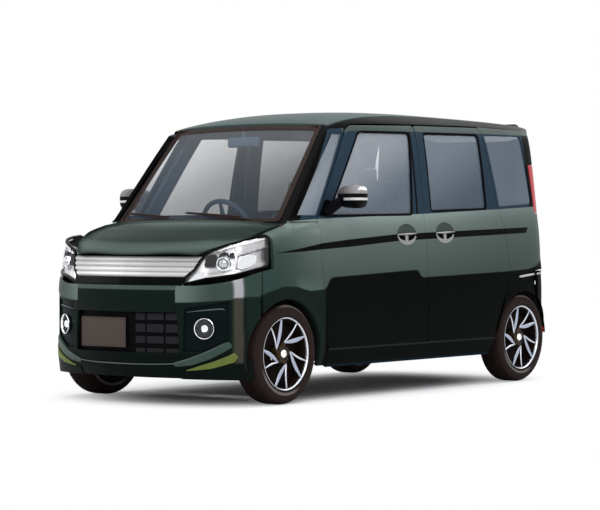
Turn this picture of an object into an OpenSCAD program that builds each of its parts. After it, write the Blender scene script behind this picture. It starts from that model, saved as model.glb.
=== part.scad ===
// Tall small passenger car with sliding rear doors, right-hand drive.
// Millimetres, +Z up, nose towards -Y, origin on the ground at the middle of the footprint.

/* [Overall] */
// Bumper to bumper
length = 3395; // [3300:5:3500]
// Body width without the mirrors
width = 1475; // [1440:5:1520]
// Ground to roof crown
height = 1690; // [1640:5:1760]
// Between the front and rear axle
wheelbase = 2425; // [2400:5:2460]
// Nose to the front axle
front_overhang = 565; // [545:5:590]

/* [Wheels] */
// Between the middles of the front tyres
track_front = 1295; // [1280:1:1300]
// Between the middles of the rear tyres
track_rear = 1290; // [1280:1:1300]
// Tread radius
tyre_radius = 281; // [272:1:285]
// Tyre section width
tyre_width = 165; // [155:1:165]
// Rim lip radius
rim_radius = 201; // [190:1:206]
// Spoke pairs on a wheel
spoke_pairs = 5; // [4:1:7]
// Stub axle radius
stub_radius = 15; // [12:0.5:18]

/* [Body] */
// Front arch opening radius about the axle
arch_front = 303; // [303:1:312]
// Rear arch opening radius about the axle
arch_rear = 296; // [294:1:305]
// Shut line between neighbouring panels
panel_gap = 6; // [5:0.5:7]
// Door and outer wall depth below the belt
wall = 50; // [44:1:52]
// Door depth around the glass
frame_wall = 30; // [26:1:32]
// Glass thickness
glass = 5; // [4:0.5:6]
// Bumper skin thickness
bumper_wall = 12; // [8:1:12]

/* [Cabin] */
// Steering wheel radius to the middle of the rim
steering_radius = 180; // [160:1:190]
// Driver and passenger seat centre from the middle
seat_x = 335; // [320:1:345]
// Seat width
seat_w = 470; // [440:5:490]

/* [Fits] */
// Radial play of a running pin
run_play = 0.05; // [0.02:0.01:0.08]
// Seat between two pieces that rest together
rest_gap = 0.3; // [0.1:0.1:0.4]

/* [Hidden] */
$fn = 64;
eps = 0.01;
sx = width / 1475;
sy = length / 3395;
sz = height / 1690;
axle_f = -length / 2 + front_overhang;
axle_r = axle_f + wheelbase;
king_low = [track_front / 2 - 62.5, tyre_radius - 111];
king_top = [track_front / 2 - 177.5, 800 * sz];
tower_z = 784;
hub_f = track_front / 2;
hub_r = track_rear / 2;
king_tilt = atan2(king_low.x - king_top.x, king_top.y - king_low.y);
paint = [0.11, 0.2, 0.14];
dark = [0.1, 0.1, 0.11];
tint = [0.25, 0.33, 0.42, 0.6];
silver = [0.75, 0.76, 0.78];

// Widest half section at each height, before the taper towards the ends.
SECTION = [[150, 640], [180, 684], [240, 714], [300, 725], [450, 735], [600, 737.5], [800, 736.5],
    [950, 729], [1050, 717.5], [1200, 703], [1400, 680], [1550, 655.5], [1600, 637], [1640, 606],
    [1670, 574]];
// Narrowing of the cabin towards the windscreen, measured along the slope of its pillar.
CABIN_TAPER = [[-1200, 80], [-1050, 60], [-900, 40], [-700, 21], [-500, 9], [-250, 1], [0, 0]];
// Narrowing towards the tail.
TAIL_TAPER = [[1050, 0], [1250, 3], [1400, 11], [1480, 19], [1540, 34], [1580, 52], [1620, 80]];
// Half width of the nose seen from above, below the lamps, against the station.
NOSE = [[0, -1697.5], [130, -1690], [260, -1668], [380, -1637], [480, -1603], [560, -1565],
    [620, -1528], [668, -1482], [697, -1430], [716, -1370], [728, -1300], [735, -1220], [737.5, -1132]];
NOSE_BACK = [for (i = [0 : len(NOSE) - 1]) let (p = NOSE[len(NOSE) - 1 - i]) [-p.y, p.x]];
NOSE_X = [for (p = NOSE) [p.y, p.x]];
// Tail seen from above at the bumper.
TAIL = [[0, 1697.5], [200, 1695], [400, 1687], [540, 1668], [620, 1642], [676, 1605], [710, 1550],
    [727, 1480], [734, 1400], [737, 1300]];
// Lean of the nose with height: back, and inward at the sides.
LEAN_BACK = [[150, 45], [200, 22], [250, 9], [300, 2], [400, 0], [620, 0], [700, 14], [780, 42],
    [820, 62], [860, 86], [900, 112], [935, 138], [980, 175]];
LEAN_IN = [[620, 0], [780, 5], [860, 12], [900, 18], [935, 29], [960, 44], [985, 72]];
// Roof crown height along the car.
CROWN = [[-640, 1572], [-600, 1590], [-515, 1618], [-350, 1650], [-166, 1671], [150, 1686],
    [434, 1690], [985, 1687], [1300, 1682], [1530, 1672], [1620, 1660]];
// Station of the outer tailgate face against height, in the middle.
GATE_Y = [[600, 1652], [700, 1658], [800, 1657], [900, 1650], [1000, 1638], [1100, 1624],
    [1250, 1606], [1400, 1588], [1550, 1566], [1600, 1556], [1650, 1545], [1680, 1538]];

function lerp(a, b, t) = a + (b - a) * t;
function clamp01(t) = min(1, max(0, t));
function span(a, b, n) = [for (i = [0 : n]) lerp(a, b, i / n)];
function real(p) = [p.x * sx, p.y * sy, p.z * sz];
function yz(list) = [for (p = list) [p.x * sy, p.y * sz]];
function xz(list) = [for (p = list) [p.x * sx, p.y * sz]];
function xy(list) = [for (p = list) [p.x * sx, p.y * sy]];

// Half width of the outer side surface at a station and height.
function skin(y, z) =
    lookup(z, SECTION)
    - lookup(y - 0.84 * max(0, z - 1017), CABIN_TAPER) * clamp01((z - 930) / 100)
    - lookup(y, TAIL_TAPER) * clamp01((z - 500) / 300);

// Point of the nose surface: t walks from the middle (0) to the front wheel (1).
NOSE_T = [for (i = [0 : len(NOSE) - 1]) [i / (len(NOSE) - 1), NOSE[i].x]];
NOSE_U = [for (i = [0 : len(NOSE) - 1]) [i / (len(NOSE) - 1), NOSE[i].y]];
function nose(t, z, inset = 0) =
    let (s = abs(t), x = lookup(s, NOSE_T), y = lookup(s, NOSE_U), side = pow(x / 737.5, 3),
        xa = lookup(min(1, s + 0.04), NOSE_T) - lookup(max(0, s - 0.04), NOSE_T),
        ya = lookup(min(1, s + 0.04), NOSE_U) - lookup(max(0, s - 0.04), NOSE_U),
        l = norm([xa, ya]), nx = ya / l, ny = -xa / l)
    [sign(t) * (x - lookup(z, LEAN_IN) * side - inset * nx),
        y + lookup(z, LEAN_BACK) * clamp01(1.15 * (1 - side)) - inset * ny, z];
// The t whose half width is x.
function nose_t(x) = lookup(x, [for (i = [0 : len(NOSE) - 1]) [NOSE[i].x, i / (len(NOSE) - 1)]]);
// Columns of a nose sheet between two values of t, shared by every sheet so that they nest.
function nose_ts(a, b) = concat([a], [for (i = [-24 : 24]) if (i / 24 > a + 0.006 && i / 24 < b - 0.006) i / 24],
    [b]);

// Point of the tail surface at bumper level, t from the middle (0) to the wheel (1).
TAIL_T = [for (i = [0 : len(TAIL) - 1]) [i / (len(TAIL) - 1), TAIL[i].x]];
TAIL_U = [for (i = [0 : len(TAIL) - 1]) [i / (len(TAIL) - 1), TAIL[i].y]];
function tail(t, z, inset = 0) =
    let (s = abs(t), x = lookup(s, TAIL_T), y = lookup(s, TAIL_U),
        xa = lookup(min(1, s + 0.05), TAIL_T) - lookup(max(0, s - 0.05), TAIL_T),
        ya = lookup(min(1, s + 0.05), TAIL_U) - lookup(max(0, s - 0.05), TAIL_U),
        l = norm([xa, ya]), nx = -ya / l, ny = xa / l, low = lookup(z, [[190, 40], [260, 10], [340, 0]]))
    [sign(t) * (x - (inset + low) * nx), y - (inset + low) * ny - lookup(z, [[600, 0], [760, 14]]), z];

function roof_z(x, y) = lookup(y, CROWN) - 40 * pow(abs(x) / 590, 2.4);
function gate_y(x, z) = lookup(z, GATE_Y) - 44 * pow(abs(x) / 640, 2.6);

// Bonnet surface: u across, v from the cowl (0) to the leading edge (1).
BONNET_X = [[0, 652], [0.3, 648], [0.6, 596], [0.85, 505], [1, 446]];
BONNET_Z = [[-1628, 828], [-1600, 858], [-1560, 884], [-1500, 911], [-1400, 947], [-1300, 974],
    [-1200, 996], [-1100, 1013]];
BONNET_DROP = [[-1555, 61], [-1400, 60], [-1250, 43], [-1085, 29]];
function bonnet(u, v, d = 0) =
    let (x = u * lookup(v, BONNET_X), y = lerp(-1146 + 60 * u * u, -1628 + 73 * u * u, v))
    [x, y + d * 0.25 * v, lookup(y, BONNET_Z) - lookup(y, BONNET_DROP) * u * u - d];

// Windscreen surface: u across, v from the base (0) to the header (1).
function screen(u, v, d = 0) =
    let (hw = lerp(608, 548, v), yb = lerp(-1036, -566, v), bow = lerp(78, 44, v))
    [u * hw, yb - bow * (1 - u * u) + d * 0.75, lerp(1004, 1570, v) - 10 * sin(180 * v) * -1
        + 14 * v * (1 - u * u) - d * 0.66];

// Closed sheet between an outer and an inner grid of points.
module shell(o, i) {
    nr = len(o);
    nc = len(o[0]);
    n = nr * nc;
    a = floor(nr / 2);
    b = floor(nc / 2);
    out = cross(o[a][b] - o[a][b - 1], o[a][b] - o[a - 1][b]) * (o[a][b] - i[a][b]) > 0;
    pts = [for (g = [o, i]) for (r = g) for (p = r) real(p)];
    quads = concat(
        [for (r = [0 : nr - 2]) for (c = [0 : nc - 2])
            [r * nc + c, r * nc + c + nc, r * nc + c + nc + 1, r * nc + c + 1]],
        [for (r = [0 : nr - 2]) for (c = [0 : nc - 2])
            [n + r * nc + c, n + r * nc + c + 1, n + r * nc + c + nc + 1, n + r * nc + c + nc]],
        [for (c = [0 : nc - 2]) [c, c + 1, n + c + 1, n + c]],
        [for (c = [0 : nc - 2]) let (k = (nr - 1) * nc + c) [k + 1, k, n + k, n + k + 1]],
        [for (r = [0 : nr - 2]) [r * nc + nc, r * nc, n + r * nc, n + r * nc + nc]],
        [for (r = [0 : nr - 2]) let (k = r * nc + nc - 1) [k, k + nc, n + k + nc, n + k]]);
    tris = [for (q = quads) for (t = [[q[0], q[1], q[2]], [q[0], q[2], q[3]]]) t];
    polyhedron(points = pts, faces = out ? tris : [for (t = tris) [t[2], t[1], t[0]]], convexity = 6);
}

module both() {
    children();
    mirror([1, 0, 0]) children();
}

// Straight cutters: through the side, through the nose or tail, and from above.
module side_cut(list, x0 = 300, x1 = 900) {
    translate([x0 * sx, 0, 0]) rotate([90, 0, 90]) linear_extrude((x1 - x0) * sx) polygon(yz(list));
}

module end_cut(list, y0, y1) {
    translate([0, y1 * sy, 0]) rotate([90, 0, 0]) linear_extrude((y1 - y0) * sy) polygon(xz(list));
}

module plan_cut(list, z0, z1) {
    translate([0, 0, z0 * sz]) linear_extrude((z1 - z0) * sz) polygon(xy(list));
}

// Rods across and along the car; a rod across sits at a real station and height, as the axles do.
module rod_x(x0, x1, y, z, r) {
    translate([x0 * sx, y, z]) rotate([0, 90, 0]) cylinder(h = (x1 - x0) * sx, r = r, $fn = r > 200 ? 144 : 64);
}

module rod_y(x, y0, y1, z, r) {
    translate([x * sx, y1 * sy, z * sz]) rotate([90, 0, 0]) cylinder(h = (y1 - y0) * sy, r = r);
}

// Stub along a wheel's axis, at real places.
module axle_rod(x0, x1, y, r) {
    translate([x0, y, tyre_radius]) rotate([0, 90, 0]) cylinder(h = x1 - x0, r = r);
}

// Rectangular piece given by its ends: at real places, and in the body's proportions.
module bar(x, y, z) {
    translate([x[0], y[0], z[0]]) cube([x[1] - x[0], y[1] - y[0], z[1] - z[0]]);
}

module block(x, y, z) {
    bar(x * sx, y * sy, z * sz);
}

// Sheet of the body side between two depths below the skin.
module side_sheet(ys, zs, d0, d1, low = 0) {
    o = [for (z = zs) [for (y = ys) [skin(y, z) - d0, y, z]]];
    i = [for (z = zs) [for (y = ys) [skin(y, z) - lookup(z, [[1000, d1 + low], [1050, d1]]), y, z]]];
    shell(o, i);
}

// Front door outline, rear door outline and the windows, in station and height.
DOOR = [[-752, 300], [-770, 420], [-794, 656], [-816, 750], [-823, 880], [-805, 1024], [-786, 1046],
    [-446, 1545], [-400, 1572], [190, 1590], [197, 1500], [201, 1060], [226, 600], [230, 300]];
DOOR_WINDOW = [[-712, 1046], [-352, 1524], [-320, 1538], [120, 1546], [136, 1532], [88, 1066],
    [70, 1058]];
SLIDER = [[236, 300], [232, 600], [207, 1060], [204, 1500], [202, 1590], [905, 1604], [925, 1560],
    [1022, 1100], [1050, 1050], [1094, 945], [1124, 690], [1084, 566], [1030, 420], [990, 300]];
SLIDER_WINDOW = [[288, 1090], [284, 1536], [296, 1548], [868, 1560], [884, 1546], [898, 1112],
    [886, 1098], [300, 1080]];
QUARTER_WINDOW = [[1056, 1114], [1046, 1126], [960, 1548], [968, 1562], [1384, 1570], [1400, 1558],
    [1456, 1150], [1444, 1134]];
FRONT_WINDOW = [[-962, 1046], [-588, 1506], [-566, 1522], [-486, 1522], [-806, 1046]];

// FLOOR: pan, firewall, rails, towers and wheel housings.
module floor_pan() {
    color(dark) {
        difference() {
            union() {
                block([-629.5, 629.5], [-795, 1000], [256, 280]);
                block([-620, 620], [990, 1040], [256, 420]);
                block([-620, 620], [1030, 1600], [396, 420]);
                block([-560, 560], [1576, 1600], [300, 420]);
                block([-606, 606], [-800, -776], [256, 960]);
                both() block([300, 366], [-1470, -780], [420, 500]);
                both() block([350, 368], [-1330, -790], [490, 800]);
                both() block([350, 600], [-1230, -1035], [tower_z, tower_z + 18]);
                both() rod_x(530, 640, axle_r, tyre_radius, 322);
                block([-366, 366], [-1490, -1462], [400, 700]);
                block([-60, 420], [300, 800], [190, 262]);
            }
            both() rod_x(542, 700, axle_r, tyre_radius, 308);
            block([-700, 700], [axle_r / sy - 340, axle_r / sy + 340], [-50, 255]);
            block([-340, 340], [-1500, -1450], [430, 670]);
            both() block([520, 542.5], [axle_r / sy - 330, axle_r / sy + 330], [-50, 396]);
            both() block([500, 700], [1572, 1700], [-50, 800]);
        }
    }
}

// SIDE FRAMES: inner pillars and rail, the band over the doors, the front pillar and the sill cover.
SEAT_DEPTH = 58;
PILLAR_Y = [-1050, -950, -850, -750, -650, -550, -440, -400];
PILLAR_Z = [1014, 1030, 1060, 1180, 1320, 1450, 1550];
LOW_Z = [296, 380, 500, 650, 800, 930];
module side_frame() {
    difference() {
        side_sheet(concat(PILLAR_Y, [-200, 0, 250, 500, 750, 1000, 1250, 1460]),
            concat([262, 300, 500, 800, 930], PILLAR_Z, [1600, 1640]), SEAT_DEPTH, SEAT_DEPTH + 30);
        side_cut([[-1100, 100], [-1100, 1800], [-500, 1800], [-500, 1587], [-988, 1004], [-836, 1004], [-836, 660], [-808, 590],
            [-808, 100]]);
        side_cut([[-720, 330], [-740, 1020], [-700, 1030], [-365, 1520], [110, 1540], [150, 1500],
            [160, 330]]);
        side_cut([[290, 330], [270, 1540], [860, 1556], [900, 1504], [990, 1004], [980, 700],
            [930, 330]]);
        side_cut([[1090, 605], [1004, 1570], [1420, 1583], [1500, 1583], [1500, 605]]);
        side_cut([[-960, 1052], [-585, 1518], [-475, 1530], [-808, 1052]]);
        rod_x(400, 900, axle_r, tyre_radius, 324);
        side_cut([[1003, 100], [1003, 333], [1250, 333], [1250, 612], [1700, 612], [1700, 100]]);
        side_cut(concat([for (y = ROOF_Y) [y, lookup(y, CROWN) - 55.6]], [[1700, 1900], [-700, 1900]]));
    }
}

// Band between the door tops and the roof, with its inner top edge under the roof's edge.
RAIL_LOW = [[-560, 1547], [-446, 1555], [-400, 1581], [190, 1599], [978, 1613], [1560, 1601]];
RAIL_DEPTH = [[1430, SEAT_DEPTH - 2.6], [1478, 24]];
module roof_rail() {
    ys = [-556, -450, -395, -200, 0, 190, 400, 600, 800, 978, 1150, 1320, 1430, 1480, 1530, 1560];
    ks = [0, 0.35, 0.7, 1];
    shell([for (k = ks) [for (y = ys) let (z = lerp(lookup(y, RAIL_LOW), lookup(y, CROWN) - 42, k))
            [skin(y, z), y, z]]],
        [for (k = ks) [for (y = ys) let (z = lerp(lookup(y, RAIL_LOW), lookup(y, CROWN) - 42, k))
            [skin(y, z - 26 * k) - lookup(y, RAIL_DEPTH), y, z - 26 * k]]]);
}

// Front pillar with the quarter window hole; its inner face stops beside the windscreen.
module front_pillar() {
    difference() {
        shell([for (z = PILLAR_Z) [for (y = PILLAR_Y) [skin(y, z), y, z]]],
            [for (z = PILLAR_Z) [for (y = PILLAR_Y) [max(skin(y, z) - SEAT_DEPTH + rest_gap,
                lerp(608, 548, (z - 1004) / 566) + 6), y, z]]]);
        side_cut([[-1100, 1000], [-1036, 1000], [-1037, 1014], [-609, 1538], [-300, 1538], [-300, 1700],
            [-1100, 1700]]);
        side_cut(FRONT_WINDOW);
        side_cut([[-814, 1000], [-814, 1022], [-796, 1046], [-456, 1549], [-404, 1581], [-300, 1582],
            [-300, 1000]]);
    }
}

module inner_frames() {
    color(dark) both() side_frame();
}

module side_frames() {
    color(dark) both() {
        front_pillar();
        roof_rail();
        side_sheet([-750, -500, -200, 100, 400, 700, 960], [188, 240, 262, 293], 0, SEAT_DEPTH - rest_gap);
    }
}

ROOF_Y = [-620, -560, -480, -380, -250, -100, 150, 450, 750, 1050, 1300, 1450, 1521];
ROOF_X = [-566, -520, -420, -280, -140, 0, 140, 280, 420, 520, 566];
module roof_panel() {
    color(paint)
        difference() {
            shell([for (y = ROOF_Y) [for (x = ROOF_X) [x, y, roof_z(x, y)]]],
                [for (y = ROOF_Y) [for (x = ROOF_X) [x, y, roof_z(x, y) - 20]]]);
            plan_cut([[-700, -700], [-700, -548], [-545, -552], [-300, -588], [0, -598], [300, -588],
                [545, -552], [700, -548], [700, -700]], 1400, 1750);
            plan_cut(concat([for (x = span(-640, 640, 12)) [x, 1512 - 50 * pow(abs(x) / 640, 2.6)]],
                [[640, 1700], [-640, 1700]]), 1400, 1750);
        }
}

// Upper edge of the front fender, along the bonnet and under the front quarter window.
function edge_x(y) = y < -1086 ? lookup((-1086 - y) / 469, BONNET_X) + panel_gap
    : lookup(y, [[-1086, 658], [-1040, 660], [-940, 672], [-826, 688]]);
function edge_z(y) = y < -1086 ? lookup(y, BONNET_Z) - lookup(y, BONNET_DROP)
    : lookup(y, [[-1086, 984], [-1040, 1004], [-826, 1008]]);
function fender_x(y, z) = lookup(z, SECTION) - 737.5 + lookup(-y, NOSE_BACK);

// Fender column at a station: up the side, then over the shoulder to the edge, easing into the door's skin.
function fender_point(y, k, d) =
    let (z0 = edge_z(y) - 60, x0 = fender_x(y, z0), a = 90 * (k - 1), z = k <= 1 ? lerp(330, z0, k) : z0 + 60 * sin(a),
        x = k <= 1 ? fender_x(y, z) : edge_x(y) + (x0 - edge_x(y)) * cos(a), m = clamp01((y + 1000) / 170))
    k <= 1 ? [lerp(x, skin(y, z), m) - d, y, z] : [lerp(x, skin(y, z), m) - d * cos(a), y, z - d * sin(a)];

module fender() {
    ys = [-1330, -1290, -1250, -1226.7, -1200, -1132, -1060, -980, -905, -835, -745];
    ks = [0, 0.2, 0.4, 0.55, 0.7, 0.85, 1, 1.2, 1.4, 1.6, 1.8, 2];
    difference() {
        shell([for (k = ks) [for (y = ys) fender_point(y, k, 0)]],
            [for (k = ks) [for (y = ys) fender_point(y, k, 16)]]);
        rod_x(300, 900, axle_f, tyre_radius, arch_front);
        side_cut([[-1400, 300], [-1400, 722], [-1247, 751], [-1247, 936], [-1400, 905], [-1420, 905], [-1420, 100]]);
        side_cut([[-758, 200], [-776, 420], [-800, 656], [-822, 750], [-829, 880], [-811, 1024],
            [-811, 1100], [-700, 1100], [-700, 200]]);
    }
}

module front_fenders() {
    color(paint) both() fender();
}

module rear_quarters() {
    color(paint) both()
        difference() {
            side_sheet([984, 1050, 1150, 1250, 1350, 1440, 1500, 1540, 1575],
                [300, 420, 560, 700, 780, 860, 950, 1060, 1130, 1250, 1400, 1500, 1570, 1594], 0, frame_wall,
                wall - frame_wall);
            side_cut([for (p = SLIDER) p + [p.x > 600 ? panel_gap + 1 : 0, 0]]);
            side_cut([[900, 100], [900, 330], [1700, 330], [1700, 100]]);
            rod_x(300, 900, axle_r, tyre_radius, arch_rear);
            side_cut(QUARTER_WINDOW);
            side_cut([[1300, 250], [1392, 540], [1440, 706], [1700, 706], [1700, 250]]);
            side_cut([[1508, 1380], [1560, 1075], [1700, 1075], [1700, 1380]]);
        }
}

module windscreen() {
    color(tint)
        shell([for (v = span(0, 1, 7)) [for (u = span(-1, 1, 8)) screen(u, v)]],
            [for (v = span(0, 1, 7)) [for (u = span(-1, 1, 8)) screen(u, v, glass)]]);
}

// Pane of a side window, let into its frame from outside.
module pane(list, ys, zs, d) {
    intersection() {
        side_sheet(ys, zs, d, d + glass);
        side_cut(list);
    }
}

module side_glass() {
    color(tint) both() {
        pane(FRONT_WINDOW, [-1000, -880, -760, -640, -520, -440], [1030, 1150, 1300, 1450,
            1560], 8);
        pane(SLIDER_WINDOW, [270, 420, 600, 780, 920], [1070, 1200, 1330, 1460, 1570], 8);
        pane(QUARTER_WINDOW, [930, 1060, 1200, 1340, 1420, 1480], [1100, 1220, 1340, 1460,
            1590], 8);
    }
}

module fixed_glass() {
    windscreen();
    side_glass();
}

module cowl() {
    color(dark)
        difference() {
            shell([for (v = [0, 0.35, 0.7, 1]) [for (u = span(-1, 1, 8))
                    [u * 640, lerp(-1136 + 62 * u * u, -1100 + 78 * u * u, v),
                        lerp(948, 1001 - 6 * (1 - v), v)]]],
                [for (v = [0, 0.35, 0.7, 1]) [for (u = span(-1, 1, 8))
                    [u * 640, lerp(-1136 + 62 * u * u, -1100 + 78 * u * u, v) + 12 * v,
                        lerp(948, 1001 - 6 * (1 - v), v) - 14]]]);
        }
}

// Wiper lying along the foot of the windscreen, on a spindle at its first end.
module wiper(u0, u1) {
    n = 3;
    p = [for (i = [0 : n]) real(screen(lerp(u0, u1, i / n), 0.035 + 0.05 * i / n, -6.8))];
    for (i = [0 : n - 1]) hull() {
        translate(p[i]) sphere(5, $fn = 10);
        translate(p[i + 1]) sphere(5, $fn = 10);
    }
}

module wipers() {
    color(dark) {
        wiper(0.7, -0.12);
        wiper(-0.18, -0.95);
    }
}

module front_bumper() {
    ts = nose_ts(-0.79, 0.79);
    zs = [158, 200, 250, 300, 400, 500, 620, 700, 760];
    color(paint)
        difference() {
            shell([for (z = zs) [for (t = ts) nose(t, z)]],
                [for (z = zs) [for (t = ts) nose(t, z, bumper_wall)]]);
            end_cut([[-385, 290], [-372, 517], [372, 517], [385, 290]], -1800, -1500);
            both() end_cut([[440, 345], [430, 590], [560, 590], [640, 470], [600, 345]], -1800, -1440);
            both() rod_x(300, 900, axle_f, tyre_radius, arch_front);
            end_cut([[-380, 702], [-380, 800], [380, 800], [380, 702]], -1800, -1400);
            both() side_cut([[-1720, 664], [-1600, 664], [-1250, 766], [-1250, 1000], [-1720, 1000]], 380,
                900);
        }
}

// Band of the nose between two edges, each given by its ends as [half width, height].
module nose_band(t0, t1, low, high, d0, d1, m = 1) {
    ts = nose_ts(t0, t1);
    sheets = [for (d = [d0, d1]) [for (j = [0 : m]) [for (t = ts)
        let (k = (t - t0) / (t1 - t0))
        nose(t, lerp(lerp(low[0], low[1], k), lerp(high[0], high[1], k), j / m), d)]]];
    shell(sheets[0], sheets[1]);
}

module upper_grille() {
    t = nose_t(368);
    q = nose_t(364);
    color(silver) {
        nose_band(-t, t, [690, 690], [802, 802], bumper_wall + rest_gap, bumper_wall + 10, 3);
        nose_band(-q, q, [710, 710], [728, 728], -2, bumper_wall + 3);
        nose_band(-q, q, [740, 740], [764, 764], 2, bumper_wall + 3);
        nose_band(-q, q, [776, 776], [798, 798], 2, bumper_wall + 3);
    }
}

module intake_grille() {
    t = nose_t(396);
    q = nose_t(366);
    d = bumper_wall + rest_gap;
    color(dark) difference() {
        union() {
            nose_band(-t, t, [270, 270], [536, 536], d + 15, d + 22, 3);
            nose_band(-q - 0.02, q + 0.02, [273, 273], [287, 287], d, d + 17);
            nose_band(-q - 0.02, q + 0.02, [520, 520], [533, 533], d, d + 17);
            for (z = [340, 396, 452]) nose_band(-q, q, [z, z], [z + 9, z + 9], d + 2, d + 17);
            for (x = [-105, 105]) block([plate_x + x - 15, plate_x + x + 15], [plate_y + 6 + rest_gap, x < 0
                ? -1655 : -1665], [440, 470]);
        }
        for (x = [-105, 105]) rod_y(plate_x + x, plate_y, plate_y + 60, 455, 3.5);
    }
}

module lamp_housings() {
    d = bumper_wall + rest_gap;
    color(dark) both() {
        nose_band(nose_t(392), 0.88, [672, 762], [788, 908], 30, 40, 4);
        nose_band(nose_t(394), 0.87, [676, 764], [684, 772], 7, 33);
        nose_band(nose_t(405), nose_t(665), [335, 335], [600, 600], d, d + 9, 4);
        rod_y(520, -1590, -1560, 432, 46);
    }
}

module lamp_lenses() {
    color(tint) both() {
        nose_band(nose_t(392), 0.88, [668, 758], [801, 920], 2, 6, 4);
        rod_y(520, -1590 - rest_gap - 5, -1590 - rest_gap, 432, 40);
    }
}

plate_x = -127;
plate_y = -1690;
module front_plate() {
    color([0.45, 0.4, 0.36])
        difference() {
            block([plate_x - 165, plate_x + 165], [plate_y, plate_y + 6], [318, 483]);
            for (x = [-105, 105]) rod_y(plate_x + x, plate_y - 10, plate_y + 10, 455, 3.5);
        }
}

module radiator() {
    color(silver) block([-300 + rest_gap, 300 - rest_gap], [-1462 + rest_gap, -1424], [330, 690]);
}

module engine_block() {
    color(dark) block([-292, 288], [-1380, -930], [250, 800]);
}

module exhaust() {
    color(silver) {
        rod_y(-150, -920, 1420, 211, 24);
        rod_x(-230, 250, 1470, 270, 82);
        rod_y(-200, 1500, 1640, 250, 20);
    }
}

module rear_bumper() {
    ts = concat(span(-0.93, -0.1, 8), [0], span(0.1, 0.93, 8));
    zs = [200, 250, 300, 400, 500, 600, 690, 700];
    color(paint)
        difference() {
            shell([for (z = zs) [for (t = ts) tail(t, z)]], [for (z = zs) [for (t = ts) tail(t, z, bumper_wall)]]);
            both() rod_x(300, 900, axle_r, tyre_radius, arch_rear);
            both() side_cut([[1200, 150], [1300, 250], [1398, 540], [1446, 700], [1446, 760], [1200, 760]]);
            end_cut([[-610, 612], [-610, 900], [610, 900], [610, 612]], 1400, 1800);
        }
}

module tail_lamps() {
    color([0.6, 0.05, 0.05]) both()
        difference() {
            side_sheet([1480, 1510, 1540, 1570, 1592], [1080, 1150, 1230, 1310, 1374], 0, 24);
            side_cut([[1400, 1000], [1400, 1400], [1505.2, 1400], [1573.4, 1000]]);
        }
}

// DOOR: full-depth panel with its window hole.
module door() {
    color(paint)
        difference() {
            intersection() {
                side_sheet([-850, -750, -650, -550, -440, -320, -160, 0, 120, 235], concat(LOW_Z, PILLAR_Z, [1592]),
                    0, frame_wall, wall - frame_wall);
                side_cut(DOOR);
            }
            side_cut(DOOR_WINDOW);
        }
}

module door_glass() {
    color(tint) pane(DOOR_WINDOW, [-740, -600, -450, -300, -150, 0, 150], [1036, 1160, 1290, 1420, 1560], 8);
}

module mirror_body() {
    color(silver) {
        hull() {
            translate(real([770, -690, 1160])) sphere(44, $fn = 20);
            translate(real([868, -665, 1150])) sphere(46, $fn = 20);
            translate(real([868, -700, 1120])) sphere(30, $fn = 20);
        }
        hull() {
            translate(real([770, -690, 1130])) sphere(16, $fn = 16);
            translate(real([702.6, -738, 1075])) sphere(16, $fn = 16);
        }
    }
}

module sliding_doors() {
    color(paint) both()
        difference() {
            intersection() {
                side_sheet([198, 320, 450, 600, 750, 880, 980, 1060, 1130], concat(LOW_Z, PILLAR_Z, [1610]),
                    0, frame_wall, wall - frame_wall);
                side_cut(SLIDER);
            }
            side_cut(SLIDER_WINDOW);
            rod_x(300, 900, axle_r, tyre_radius, arch_rear + 20);
        }
}

module dashboard() {
    color(dark) {
        translate([-600 * sx, 0, 0]) rotate([90, 0, 90]) linear_extrude(1200 * sx)
            polygon(yz([[-776 + rest_gap, 700], [-776 + rest_gap, 985], [-600, 1005], [-470, 990], [-430, 900], [-470, 760], [-560, 690]]));
        steering_axis() translate([0, 0, -150]) cylinder(h = 133 - rest_gap, r = 30);
    }
}

module steering_axis() {
    translate(real([-340, -358, 977])) rotate([-65, 0, 0]) children();
}

module steering_wheel() {
    color(dark)
        steering_axis() {
            rotate_extrude() translate([steering_radius, 0]) circle(15, $fn = 32);
            cylinder(h = 34, r = 55, center = true);
            for (a = [0, 90, 180]) rotate([0, 0, a]) translate([40, -16, -7]) cube([steering_radius - 42, 32, 14]);
        }
}

// SEAT: cushion, back, headrest and base.
module seat(x, y, w) {
    translate(real([x, y, 0])) {
        block([-w / 2, w / 2], [-250, 240], [430, 590]);
        translate(real([0, 240, 540])) rotate([-14, 0, 0]) {
            block([-w / 2 + 12, w / 2 - 12], [-55, 55], [-40, 560]);
            block([-125, 125], [-45, 45], [610, 760]);
            for (p = [-60, 60]) translate(real([p, 0, 550])) cylinder(h = 70 * sz, r = 7);
        }
        block([-w / 2 + 40, w / 2 - 40], [-200, 200], [280 + rest_gap, 440]);
    }
}

module seats() {
    color([0.3, 0.33, 0.4]) {
        for (x = [-seat_x, seat_x]) seat(x, -20, seat_w);
        for (x = [-262, 262]) translate([0, 0, 0]) seat(x, 700, 505);
    }
}

module rear_axle() {
    color(dark) {
        bar([175 - hub_r - 10, hub_r - 185], [axle_r - 102.5, axle_r - 42.5], [240 * sz, 296 * sz]);
        both() {
            bar([hub_r - 205, hub_r - 165], [830 * sy, axle_r + 37.5], [196 * sz, 250 * sz]);
            axle_rod(hub_r - 175, hub_r - 85, axle_r, 60);
            axle_rod(hub_r - 105, hub_r + 15, axle_r, stub_radius);
            translate([hub_r - 185, axle_r + 7.5, 240 * sz]) cylinder(h = 156 * sz - rest_gap, r = 45);
        }
    }
}

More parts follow.
